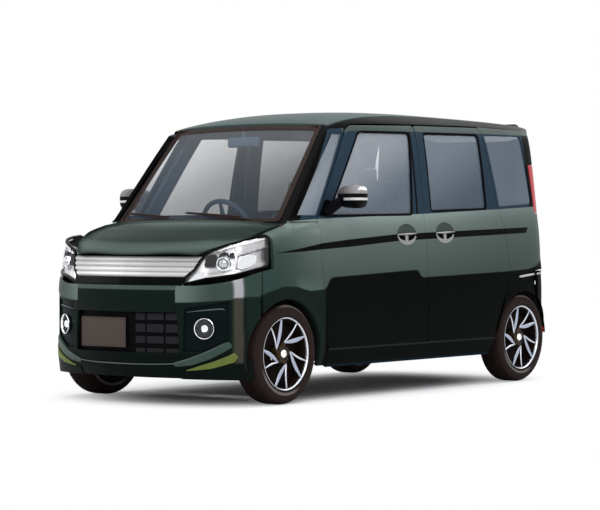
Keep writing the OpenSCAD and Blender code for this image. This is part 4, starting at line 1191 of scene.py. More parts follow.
def oval(centre: Point, half: Point, count: int = 28) -> list[Point]:
    """Points on an oval."""
    return [(centre[0] + half[0] * math.cos(a), centre[1] + half[1] * math.sin(a))
            for a in spread(0, math.tau, count)[:-1]]


def swollen(outline: Sequence[Point], by: float) -> list[Point]:
    """An outline moved outwards by a distance, or inwards by a negative one."""
    area = sum(ax * by_ - bx * ay for (ax, ay), (bx, by_) in zip(outline, [*outline[1:], outline[0]]))
    turn = 1 if area > 0 else -1
    made = []
    for i, corner in enumerate(outline):
        here = Vector(corner)
        a = (here - Vector(outline[i - 1])).normalized()
        b = (Vector(outline[(i + 1) % len(outline)]) - here).normalized()
        normal = Vector((a.y + b.y, -a.x - b.x)) * turn
        scale = by / max(0.35, normal.length_squared / 2)
        made.append(tuple(here + normal * scale))
    return made


@dataclass
class BodyShell:
    """Fixed painted and black panels: roof, rails, pillars, sills, fenders and quarters."""

    roof_half: float = 572.0
    quarter_turn: float = 1535.0
    quarter_run: float = 110.0
    flare_reach: float = 345.0
    flare_rise: float = 5.0

    def build(self) -> None:
        """Makes every fixed panel."""
        self.roof()
        self.rails()
        self.pillars()
        self.sills()
        self.fenders()
        self.quarters()

    def mirrored(self, name: str, make: Callable[[], bmesh.types.BMesh], finish: Finish,
                 stands_for: Sequence[str] = (), crisp: float = 40.0) -> bpy.types.Object:
        """Makes a left and a right copy of a panel as one piece on the body.

        Args:
            name: The piece's name.
            make: Builds the left one.
            finish: Its finish.
            stands_for: CAD nodes that it replaces.
            crisp: Angle beyond which an edge stays sharp.

        Returns:
            The piece.
        """
        right = make()
        flip_x(right)
        return piece(name, join(make(), right), finish, "body", stands_for, crisp)

    def roof(self) -> None:
        """Roof panel, with two shallow beads and a rolled edge."""
        half = self.roof_half
        front = [(x, -598 + 46 * (abs(x) / 545) ** 2.2) for x in spread(-half, half, 16)]
        rear = [(x, 1512 - 50 * (abs(x) / 640) ** 2.6) for x in spread(half, -half, 16)]

        def surface(x: float, y: float) -> Vector:
            point = FORM.roof(x, y)
            bead = max(0.0, 1 - abs(abs(x) - 330) / 34) * ramp((y + 150) / 160) * ramp((1400 - y) / 160)
            point.z -= 5.0 * ramp(bead)
            return point

        piece("roof_skin", sheet([*front, *rear], surface, 26.0, depth=16.0), PAINT_PLAIN, "body",
              ["roof_panel"])
        lining = sheet(swollen([*front, *rear], -6), lambda x, y: FORM.roof(x, y) - Vector((0, 0, 24)), 60.0,
                       roll=0)
        piece("roof_lining", facing(lining, Vector((0, 0, -1))), HEADLINER, "body")

    def rails(self) -> None:
        """Black band from the door tops over to the roof's edge."""
        half = self.roof_half

        def surface(y: float, k: float) -> Vector:
            low, top = FORM.rail_low(y), FORM.crown(y) - 42
            if k <= 1:
                z = lerp(low, top, k)
                return Vector((FORM.skin_x(y, z), y, z))
            turn = (k - 1) * math.pi / 2
            edge = FORM.roof(half, y).z - 7
            x = lerp(half + 3, FORM.skin_x(y, top), math.cos(turn))
            return Vector((x, y, lerp(top, edge, math.sin(turn))))

        outline = [(-556, 0), (1568, 0), (1562, 2), (-548, 2)]
        self.mirrored("roof_rails", lambda: sheet(outline, surface, 24.0, grow=0.005, depth=10.0), PIANO,
                      ["side_frames"])

    def pillars(self) -> None:
        """Black front pillars round the front quarter windows."""
        outline = [(-1033, 1014), (-817, 1014), (-799, 1046), (-459, 1549), (-470, 1556), (-548, 1551),
                   (-606, 1536)]
        self.mirrored("front_pillars", lambda: sheet(outline, side_surface(), 18.0, [FRONT_WINDOW], depth=26.0),
                      PAINT_SIDE)

        def corner(v: float, k: float) -> Vector:
            y, z = lerp(-1030, -548, v), lerp(1010, 1553, v)
            side = Vector((FORM.skin_x(y + 14, z) - 2, y + 14, z))
            return FORM.screen(0.975, v, 1.0).lerp(side, k)

        self.mirrored("pillar_corners", lambda: facing(
            sheet([(0, 0), (1, 0), (1, 1), (0, 1)], corner, 0.06, grow=3, roll=0), Vector((1, -0.6, 0.4))), PIANO)

    def sills(self) -> None:
        """Sill covers under the doors, with a blue-black foot."""
        outline = rounded([(-745, 188), (955, 188), (985, 294), (-752, 294)], 16)
        self.mirrored("sill_covers", lambda: sheet(outline, side_surface(), 20.0, depth=34.0), PAINT_SIDE)

    def arch_lip(self, y: float, z: float, axle: float, radius: float) -> float:
        """Outward rise of the flare round a wheel arch, in millimetres."""
        gap = math.hypot(y - axle, z - TYRE_RADIUS) - radius
        return self.flare_rise * ramp((self.flare_reach - ARCH_FRONT - gap) / 8.0) if gap > -2 else self.flare_rise

    def fenders(self) -> None:
        """Front fenders from the lamp to the door, with a flared arch."""
        top = [(y, FORM.shoulder(y)) for y in (-840, -900, -960, -1020, -1060, -1080, -1088, -1120, -1170, -1247)]
        arch = [(AXLE_FRONT + ARCH_FRONT * math.cos(math.radians(a)),
                 TYRE_RADIUS + ARCH_FRONT * math.sin(math.radians(a))) for a in spread(130, 4, 24)]
        outline = [(-829, 880), (-818, 960), (-812, 1010), *top, (-1247, 751), (-1330, 735), (-1330, 511), *arch,
                   (-830, 200), (-758, 200), (-758, 300), (-776, 420), (-800, 656), (-822, 750)]

        def surface(y: float, w: float) -> Vector:
            point = FORM.fender(y, w)
            m = kink((y + 1000) / 170)
            point.x = lerp(point.x, FORM.skin_x(y, point.z), m)
            point.x += self.arch_lip(y, point.z, AXLE_FRONT, ARCH_FRONT)
            return point

        self.mirrored("fender_skins", lambda: sheet(outline, surface, 13.0, depth=20.0, back=0.0), PAINT_SIDE,
                      ["front_fenders"])

    def quarter_point(self, s: float, z: float) -> Vector:
        """Rear quarter, which turns the corner behind the last window to meet the tailgate."""
        if s <= self.quarter_turn:
            point = Vector((FORM.skin_x(s, z), s, z))
        else:
            t = kink((s - self.quarter_turn) / self.quarter_run) * math.pi / 2
            side = FORM.skin_x(self.quarter_turn, z)
            inner = 618.0 - 60 * ramp((z - 1380) / 260)
            back = FORM.gate(inner, z).y
            slope = (FORM.skin_x(self.quarter_turn, z) - FORM.skin_x(self.quarter_turn - 20, z)) / 20
            y = lerp(self.quarter_turn, back, math.sin(t))
            x = lerp(inner, side, math.cos(t)) + slope * (y - self.quarter_turn) * 0.5 * math.cos(t)
            point = Vector((x, y, z))
        point.x += self.arch_lip(s, z, AXLE_REAR, ARCH_REAR)
        return point

    def quarters(self) -> None:
        """Rear quarters round the last side windows and the rear corner."""
        edge = [(y + (7 if y > 600 else 0), z) for y, z in SLIDER if y > 900]
        arch = [(AXLE_REAR + ARCH_REAR * math.cos(math.radians(a)),
                 TYRE_RADIUS + ARCH_REAR * math.sin(math.radians(a))) for a in spread(168, 62, 18)]
        end = self.quarter_turn + self.quarter_run
        outline = [*edge[:-2], (1046, 440), (1002, 340), *arch, (1440, 706), (end, 722), (end, 1602), (912, 1610)]
        lamp = [(1455, 1391), (1489, 1074), (end + 60, 1074), (end + 60, 1391)]
        self.mirrored("quarter_skins", lambda: sheet(outline, self.quarter_point, 15.0, [QUARTER_WINDOW, lamp],
                                                     depth=22.0), PAINT_SIDE, ["rear_quarters"])


@dataclass
class SideDoor:
    """A side door: outer panel with its handle, inner trim, seals and glass."""

    side: Side
    sliding: bool
    handle_depth: float = 24.0

    @property
    def body(self) -> str:
        """The body that the door rides on."""
        return "body" if self.sliding else f"door_{self.side.word}"

    @property
    def word(self) -> str:
        """The door's name in its pieces."""
        return f"{'rear' if self.sliding else 'front'}_door_{self.side.word}"

    @property
    def outline(self) -> list[Point]:
        """The door's outline."""
        return self.cut_arch(rounded(SLIDER, 18)) if self.sliding else rounded(DOOR, 18)

    @property
    def window(self) -> list[Point]:
        """The window's outline."""
        return rounded(SLIDER_WINDOW if self.sliding else DOOR_WINDOW, 14)

    @staticmethod
    def cut_arch(outline: list[Point]) -> list[Point]:
        """The outline with the rear wheel's arch kept clear."""
        reach = ARCH_REAR + 20
        made = []
        for y, z in outline:
            gap = math.hypot(y - AXLE_REAR, z - TYRE_RADIUS)
            push = max(1.0, reach / gap)
            made.append((AXLE_REAR + (y - AXLE_REAR) * push, z if push == 1 else TYRE_RADIUS + (z - TYRE_RADIUS) * push))
        return [(y, max(300.0, z)) for y, z in made]

    def add(self, name: str, bm: bmesh.types.BMesh, finish: Finish, stands_for: Sequence[str] = (),
            crisp: float = 40.0) -> bpy.types.Object:
        """Puts a left-hand mesh on this door's side and makes its piece."""
        if self.side is Side.RIGHT:
            flip_x(bm)
        return piece(f"{self.word}_{name}", bm, finish, self.body, stands_for, crisp)

    def build(self) -> None:
        """Makes the door's pieces."""
        centre = HANDLES["rear" if self.sliding else "front"]
        cup = oval(centre, HANDLE_SIZE)
        panel = sheet(self.outline, side_surface(), 17.0, [self.window, cup], roll=1.6, depth=24.0)
        replaced = [] if self.sliding else [f"door_{self.side.word}"]
        if self.sliding and self.side is Side.LEFT:
            replaced = ["sliding_doors"]
        self.add("panel", panel, PAINT_SIDE, replaced)
        self.trim_panel()
        self.seal()
        self.handle(centre, cup)

    def trim_panel(self) -> None:
        """Inner trim, deeper below the belt, with an armrest."""
        def inner(y: float, z: float) -> Vector:
            depth = lerp(WALL, 27, ramp((z - 1000) / 60))
            rest = math.exp(-((z - 760) / 38) ** 2) * ramp((z - 600) / 80)
            low, high = (300, 820) if self.sliding else (-560, 60)
            rest *= ramp((y - low) / 80) * ramp((high - y) / 80)
            return Vector((FORM.skin_x(y, z) - depth - 1.5 * rest, y, z))

        bm = sheet(swollen(self.outline, -5), inner, 26.0, [swollen(self.window, 5)], roll=0)
        facing(bm, Vector((-1, 0, 0)))
        hem(bm, 1.5, 14.0)
        self.add("trim", bm, CABIN)

    def seal(self) -> None:
        """Black seal round the window, and the window's glass."""
        outer = swollen(self.window, 7)
        bm = sheet(outer, lambda y, z: Vector((FORM.skin_x(y, z) + 0.4, y, z)), 14.0, [swollen(self.window, -5)],
                   roll=0.8, depth=9.0)
        self.add("window_seal", bm, SEAL)
        glass = sheet(swollen(self.window, -2), side_surface(8), 40.0, roll=0)
        thick = sheet(swollen(self.window, -2), side_surface(12), 40.0, roll=0)
        bmesh.ops.reverse_faces(thick, faces=thick.faces)
        replaced = [] if self.sliding else [f"door_glass_{self.side.word}"]
        self.add("glass", join(glass, thick), REAR_GLASS if self.sliding else DOOR_GLASS, replaced)

    def handle(self, centre: Point, cup: list[Point]) -> None:
        """Oval cup with a bright rim and a grip bar across it; its dark green upper half and black lower half are
        painted shade.
        """
        half_y, half_z = HANDLE_SIZE

        def dish(y: float, z: float) -> Vector:
            share = ((y - centre[0]) / half_y) ** 2 + ((z - centre[1]) / half_z) ** 2
            sink = self.handle_depth * math.sqrt(max(0.0, 1 - share)) + 1.0
            return Vector((FORM.skin_x(y, z) - sink, y, z))

        high = [(y, z) for y, z in swollen(cup, 2) if z >= centre[1]]
        low = [(y, z) for y, z in swollen(cup, 2) if z <= centre[1]]
        # Painted shade: darker green over the upper half of the cup, black under the grip.
        self.add("handle_cup", sheet(high, dish, 7.0, roll=0), CUP_SHADE)
        self.add("handle_well", sheet(low, dish, 7.0, roll=0), LAMP_BLACK)
        inner = [(centre[0] + (y - centre[0]) * 0.86, centre[1] + (z - centre[1]) * 0.62) for y, z in reversed(low)]
        self.add("handle_rim", sheet([*low, *inner], side_surface(1.0), 9.0, roll=1.5, depth=5), GRIP_CHROME)
        self.add("handle_stay", sheet([(centre[0] - 12, centre[1] - 52), (centre[0] + 12, centre[1] - 52),
                                       (centre[0] + 14, centre[1]), (centre[0] - 14, centre[1])],
                                      side_surface(2.0), 9.0, roll=1.5, depth=8), GRIP_CHROME)
        path = [Vector((FORM.skin_x(centre[0] + y, centre[1] + 2) - 4 + 11 * (1 - (y / (half_y * 0.98)) ** 2), centre[0] + y,
                        centre[1] + 2 + y * 0.04)) for y in spread(-half_y * 0.98, half_y * 0.98, 12)]
        widths = [lerp(9, 17, math.sin(math.pi * t)) for t in spread(0, 1, 12)]
        grip = tube(path, widths, 14, 0.45)
        self.add("handle_grip", grip, GRIP_CHROME)


@dataclass
class Bonnet:
    """Bonnet with a centre swell and an inner frame."""

    swell: float = 6.0

    def surface(self, depth: float) -> Surface:
        """The bonnet at a depth, as a surface of u and v."""
        def point(u: float, v: float) -> Vector:
            made = FORM.bonnet(u, v, depth)
            crease = ramp((0.86 - abs(u)) / 0.10) * ramp((0.93 - v) / 0.25) * ramp((v + 0.2) / 0.3)
            made.z += self.swell * crease
            return made
        return point

    def build(self) -> None:
        """Makes the panel and the lining under it."""
        outline = rounded([(-1, 0), (1, 0), (1, 1), (-1, 1)], 0.04)
        top = sheet(outline, self.surface(0), 0.028, grow=1.25, depth=12.0)
        piece("bonnet_skin", top, PAINT_PLAIN, "bonnet", ["bonnet"])
        low = sheet([(-0.96, 0.03), (0.96, 0.03), (0.96, 0.96), (-0.96, 0.96)], self.surface(14), 0.05, roll=0)
        piece("bonnet_frame", facing(low, Vector((0, 0, -1))), LINER, "bonnet")


@dataclass
class Tailgate:
    """Tailgate with its window, spoiler, blank plate, handle bar and wiper."""

    edge: tuple[Point, ...] = ((604, 622), (604, 700), (614, 1060), (586, 1380), (556, 1600), (528, 1652))

    def build(self) -> None:
        """Makes the tailgate's pieces."""
        outline = rounded([*self.edge, *[(-x, z) for x, z in reversed(self.edge)]], 20)
        window = rounded(GATE_WINDOW, 26)

        def surface(x: float, z: float) -> Vector:
            point = FORM.gate(x, z)
            recess = ramp((240 - abs(x)) / 18) * ramp((z - 716) / 18) * ramp((938 - z) / 18)
            point.y -= 14 * recess
            return point

        panel = sheet(outline, surface, 17.0, [window], depth=22.0)
        piece("tailgate_skin", panel, PAINT_PLAIN, "tailgate",
              ["tailgate"])
        inner = sheet(swollen(outline, -6), lambda x, z: FORM.gate(x, z) - Vector((0, 27, 0)), 40.0,
                      [swollen(window, 6)], roll=0)
        piece("tailgate_trim", facing(inner, Vector((0, -1, 0))), CABIN, "tailgate")
        pane = sheet(swollen(window, -2), lambda x, z: FORM.gate(x, z) - Vector((0, 7, 0)), 40.0, roll=0)
        back = sheet(swollen(window, -2), lambda x, z: FORM.gate(x, z) - Vector((0, 11, 0)), 40.0, roll=0)
        facing(back, Vector((0, -1, 0)))
        piece("tailgate_pane", join(facing(pane, Vector((0, 1, 0))), back), PRIVACY_GLASS, "tailgate",
              ["tailgate_glass"])
        frame = sheet(swollen(window, 8), lambda x, z: FORM.gate(x, z) + Vector((0, 0.4, 0)), 18.0,
                      [swollen(window, -16)], roll=0.8, depth=8.0)
        piece("tailgate_seal", facing(frame, Vector((0, 1, 0))), SEAL, "tailgate")
        self.furniture()

    def furniture(self) -> None:
        """Plate, handle bar, wiper and spoiler."""
        y = FORM.gate(0, 830).y - 14
        blank = slab((-165, y, 742), (165, y + 3.5, 907), 1.5)
        piece("rear_plate", blank, PLATE, "tailgate")
        bar = tube([Vector((x, FORM.gate(x, 962).y + 6, 962 - 5 * (x / 300) ** 2)) for x in spread(-300, 300, 10)],
                   [9, *[13] * 9, 9], 12, 1.3)
        piece("tailgate_handle_bar", bar, SATIN, "tailgate")
        hub = Vector((0, FORM.gate(0, 1052).y + 6, 1052))
        arm = [hub, hub + Vector((60, 5, 22)), Vector((250, FORM.gate(250, 1118).y + 10, 1118)),
               Vector((400, FORM.gate(400, 1150).y + 7, 1150))]
        wiper = join(tube(arm, [8, 7, 6, 5], 8, 0.6), place(lathe([(0, 0), (0, 16), (9, 14), (12, 0)], 32),
                     Matrix.Translation(hub - Vector((0, 8, 0))) @ Matrix.Rotation(math.pi / 2, 4, "Z")))
        piece("rear_wiper", wiper, TRIM, "tailgate")
        rows = []
        for x in spread(-500, 500, 20):
            base = FORM.gate(x, 1648)
            tip = 34 * (1 - 0.35 * (abs(x) / 500) ** 3)
            rows.append([Vector((x, base.y - 4, 1664 - 10 * (abs(x) / 500) ** 2)),
                         Vector((x, base.y + tip * 0.6, 1663 - 12 * (abs(x) / 500) ** 2)),
                         Vector((x, base.y + tip + 22, 1652 - 14 * (abs(x) / 500) ** 2)),
                         Vector((x, base.y + tip + 18, 1644 - 14 * (abs(x) / 500) ** 2)),
                         Vector((x, base.y + 6, 1630 - 12 * (abs(x) / 500) ** 2))])
        piece("roof_spoiler", loft(rows), PAINT_PLAIN, "tailgate")


def loft(rows: Sequence[Sequence[Vector]]) -> bmesh.types.BMesh:
    """A closed body through closed sections of equal count, capped at both ends."""
    bm = bmesh.new()
    loops = []
    for row in rows:
        verts = [bm.verts.new(p) for p in row]
        loops.append([bm.edges.new((a, b)) for a, b in zip(verts, [*verts[1:], verts[0]])])
    for a, b in zip(loops, loops[1:]):
        bmesh.ops.bridge_loops(bm, edges=[*a, *b])
    for end in (loops[0], loops[-1]):
        bmesh.ops.contextual_create(bm, geom=end)
    bmesh.ops.recalc_face_normals(bm, faces=bm.faces)
    return bm


@dataclass
class NoseTrim:
    """Front bumper with its pods, swooshes and lip, both grilles, and the blank plate."""

    step: float = 13.0
    lime: tuple[Point, ...] = ((272, 199), (360, 232), (515, 281), (560, 300), (585, 276), (556, 250), (400, 214))
    swoosh: tuple[Point, ...] = ((222, 238), (300, 268), (400, 312), (490, 350), (524, 358), (545, 334),
                                 (500, 312), (400, 268), (300, 232), (232, 222))
    pod: tuple[Point, ...] = ((268, 300), (272, 541), (400, 562), (524, 582), (528, 352), (400, 306))
    cell_rows: tuple[Point, ...] = ((474, 509), (407, 449), (346, 382), (288, 315))
    cell_columns: tuple[Point, ...] = ((68, 106), (116, 182), (193, 250))
    plate_lo: tuple[float, float, float] = (-292, -1690, 318)
    plate_hi: tuple[float, float, float] = (38, -1684, 483)

    @staticmethod
    def surface(inset: float) -> Surface:
        """The nose at an inset, as a surface of its walk in thousandths and of height."""
        return lambda s, z: FORM.nose(s * MM, z, inset)

    @staticmethod
    def walk(x: float) -> float:
        """The walk in thousandths at a half width."""
        return math.copysign(FORM.nose_share(abs(x)) * 1000, x)

    def on_nose(self, outline: Sequence[Point]) -> list[Point]:
        """An outline in half width and height as one in walk and height."""
        return [(self.walk(x), z) for x, z in outline]

    @staticmethod
    def both(outline: Sequence[Point]) -> list[list[Point]]:
        """An outline and its mirror image, both turning the same way."""
        return [list(outline), [(-s, z) for s, z in reversed(outline)]]

    def build(self) -> None:
        """Makes the front's pieces."""
        self.bumper()
        self.lip()
        self.pods()
        self.blades()
        self.intake()
        self.grille()

    def edge(self) -> list[Point]:
        """The left half of the bumper's outline, from the top middle to the bottom middle."""
        side = 790.0
        lamp = []
        for s in (268, 320, 400, 500, 600, 700, side):
            y = FORM.nose_y(s * MM)
            lamp.append((s, 660 + max(0.0, y + 1600) * 102 / 350))
        arch = []
        for a in spread(132, 204, 14):
            y = AXLE_FRONT + ARCH_FRONT * math.cos(math.radians(a))
            z = TYRE_RADIUS + ARCH_FRONT * math.sin(math.radians(a))
            if y <= FORM.nose_y(side * MM) and z >= 160:
                arch.append((FORM.nose_station(y) * 1000, z))
        return [(0, 698), (258, 698), *lamp, *arch, (FORM.nose_station(-1410) * 1000, 158), (0, 158)]

    def bumper(self) -> None:
        """Bumper skin with the intake and the pods cut out."""
        half = self.edge()
        outline = [*half, *[(-s, z) for s, z in reversed(half[1:-1])]]
        intake = rounded(self.on_nose([(-385, 290), (-372, 517), (372, 517), (385, 290)]), 14)
        pods = self.both(rounded(self.pod, 16))

        def surface(s: float, z: float) -> Vector:
            centre = ramp((262 - abs(s)) / 8) * ramp((z - 520) / 8)
            shoulder = ramp((z - 596) / 16) * ramp((700 - z) / 40)
            flare = FlareForm.rise(FORM.nose(s * MM, z), AXLE_FRONT, ARCH_FRONT)
            return FORM.nose(s * MM, z, -5.0 * centre - 3.0 * shoulder * (1 - centre) - flare)

        skin = sheet(outline, surface, self.step, [intake, *pods], roll=1.5, depth=14.0)
        piece("bumper_skin", skin, BUMPER_PAINT, "body", ["front_bumper"])
        for x in (-362, 362):
            seam = [FORM.nose(self.walk(x) * MM, z, -3.5) for z in spread(526, 692, 6)]
            name = f"bumper_seam_{'left' if x > 0 else 'right'}"
            piece(name, tube(seam, [2.2] * 7, 6), SEAL, "body")

    def lip(self) -> None:
        """Corner skirts, lower and prouder than the middle, and the lip's dark foot."""
        for i, outline in enumerate(self.both(rounded([(238, 154), (238, 192), (268, 196), (405, 211), (556, 246),
                                                       (640, 262), (700, 262), (706, 154)], 10))):
            skirt = sheet(outline, self.surface(-6), self.step, roll=4, depth=10)
            piece(f"corner_skirt_{'left' if i == 0 else 'right'}", skirt, BUMPER_PAINT, "body")
        foot = sheet([(-700, 156), (700, 156), (700, 186), (-700, 186)], self.surface(16), 30.0, roll=3, depth=30)
        piece("bumper_foot", foot, TRIM, "body")

    def pods(self) -> None:
        """Dark fog lamp pods with a light line over each, and the lamps."""
        for i, outline in enumerate(self.both(rounded(self.pod, 16))):
            side = Side.LEFT if i == 0 else Side.RIGHT
            well = sheet(swollen(outline, 3), self.surface(13), self.step, roll=0)
            piece(f"pod_{side.word}", facing(well, Vector((0, -1, 0))), POD_BLACK, "body")
            sign = side.value
            line = [FORM.nose(sign * s * MM, z, 9.5) for s, z in ((284, 518), (340, 526), (420, 534), (480, 537),
                    (500, 528))]
            radii = [1.0, 3.0, 4.0, 3.4, 1.0]
            piece(f"pod_line_{side.word}", tube(line, radii, 8), POD_LINE, "body")
            self.fog_lamp(side)

    def fog_lamp(self, side: Side) -> None:
        """A round lamp with a bright ring, a dark bowl and a bulb shield."""
        centre = FORM.nose(side.value * self.walk(520) * MM, 430, 0)
        turn = Matrix.Translation(centre) @ Matrix.Rotation(side.value * 0.40 - math.pi / 2, 4, "Z")
        ring = [(-6, 57), (0, 58), (5, 56.5), (6, 54.5), (4, 52.5), (-6, 51), (-6, 57)]
        bowl = [(-6, 52), (-12, 46), (-22, 30), (-24, 0)]
        bulb = [(-22, 20), (-10, 23), (-2, 20), (3, 12), (5, 0)]
        word = side.word
        piece(f"fog_ring_{word}", place(lathe(ring, 48), turn), CHROME, "body")
        piece(f"fog_bowl_{word}", place(lathe(bowl, 48), turn), LAMP_BLACK, "body")
        piece(f"fog_reflector_{word}", place(lathe(bulb, 40), turn), CHROME, "body")
        glass = [(-2, 52), (1, 44), (4, 24), (5.5, 0)]
        piece(f"fog_lens_{word}", place(lathe(glass, 48), turn), LENS, "body")

    def blades(self) -> None:
        """Green and silver swooshes, lime painted reflections on the lower lip and the silver line under the intake."""
        for i, outline in enumerate(self.both(rounded(self.swoosh, 8))):
            blade = sheet(outline, self.surface(-7), 9.0, roll=3, depth=12)
            piece(f"swoosh_{'left' if i == 0 else 'right'}", blade, SWOOSH_PAINT, "body")
        # Lime sheets: a painted reflection on the lower lip.
        for i, outline in enumerate(self.both(rounded(self.lime, 6))):
            wedge = sheet(outline, self.surface(-7.5), 9.0, roll=1.5, depth=8)
            piece(f"lime_wedge_{'left' if i == 0 else 'right'}", wedge, LIME_REFLECTION, "body")
        for sign in (1, -1):
            top = [FORM.nose(sign * s * MM, z, -7.5) for s, z in ((224, 236), (300, 266), (400, 310), (488, 348))]
            piece(f"swoosh_edge_{'left' if sign > 0 else 'right'}", tube(top, [3.0, 3.0, 3.0, 2.0], 8), POD_LINE, "body")
        line = [FORM.nose(s * MM, 229 + 8 * (abs(s) / 226) ** 3, -4) for s in spread(-228, 228, 24)]
        piece("lower_line", tube(line, [3.0] * 25, 10, 1.0), POD_LINE, "body")

    def intake(self) -> None:
        """Black intake wall, its grey cells and the blank plate."""
        wall = sheet(self.on_nose([(-398, 268), (-398, 537), (398, 537), (398, 268)]), self.surface(24), 30.0, roll=0)
        piece("intake_wall", facing(wall, Vector((0, -1, 0))), TRIM, "body", ["intake_grille"])
        cells = bmesh.new()
        for low, high in self.cell_rows:
            for a, b in self.cell_columns:
                outline = rounded([(a, low), (b, low), (b, high), (a, high)], 3)
                join(cells, sheet(outline, self.surface(15), 16.0, roll=2, depth=8))
        piece("intake_cells", cells, CELL_GREY, "body")
        blank = slab(self.plate_lo, self.plate_hi, 2.0)
        rim = bmesh.new()
        lo, hi = self.plate_lo, self.plate_hi
        corners = [(lo[0] + 3, lo[2] + 3), (hi[0] - 3, lo[2] + 3), (hi[0] - 3, hi[2] - 3), (lo[0] + 3, hi[2] - 3)]
        bead = [Vector((x, lo[1] - 0.5, z)) for x, z in rounded(corners, 9)]
        join(rim, tube([*bead, bead[0]], [2.6] * (len(bead) + 1), 6))
        piece("front_plate_blank", blank, PLATE, "body", ["front_plate"])
        piece("front_plate_rim", rim, PLATE, "body")

    def grille(self) -> None:
        """Silver bars between the lamps over a thick black line."""
        ends = [(264, 706), (270, 716), (301, 752), (321, 806), (330, 819)]
        outline = [*ends, *[(-s, z) for s, z in reversed(ends)]]

        def bars(s: float, z: float) -> Vector:
            wave = 0.5 - 0.5 * math.cos(math.tau * (z - 708) / 27.5)
            return FORM.nose(s * MM, z, 8.0 - 6.5 * wave ** 0.7)

        upper = sheet(outline, bars, 5.5, roll=1.2, depth=8)
        piece("grille_bars", upper, GRILLE_BARS, "body", ["upper_grille"])
        back = sheet([(-270, 672), (270, 672), (345, 828), (-345, 828)], self.surface(16), 40.0, roll=0)
        piece("grille_back", facing(back, Vector((0, -1, 0))), TRIM, "body")
        bar = sheet(rounded([(-262, 664), (262, 664), (268, 706), (-268, 706)], 4), self.surface(-6), 11.0,
                    roll=3.5, depth=10)
        piece("grille_underline", bar, PIANO, "body")


class FlareForm:
    """Outward rise of a wheel arch's flare."""

    rise_mm = 5.0
    band = 44.0

    @classmethod
    def rise(cls, point: Vector, axle: float, radius: float) -> float:
        """Rise at a point of the side, in millimetres."""
        gap = math.hypot(point.y - axle, point.z - TYRE_RADIUS) - radius
        return cls.rise_mm * ramp((cls.band - gap) / 7.0)


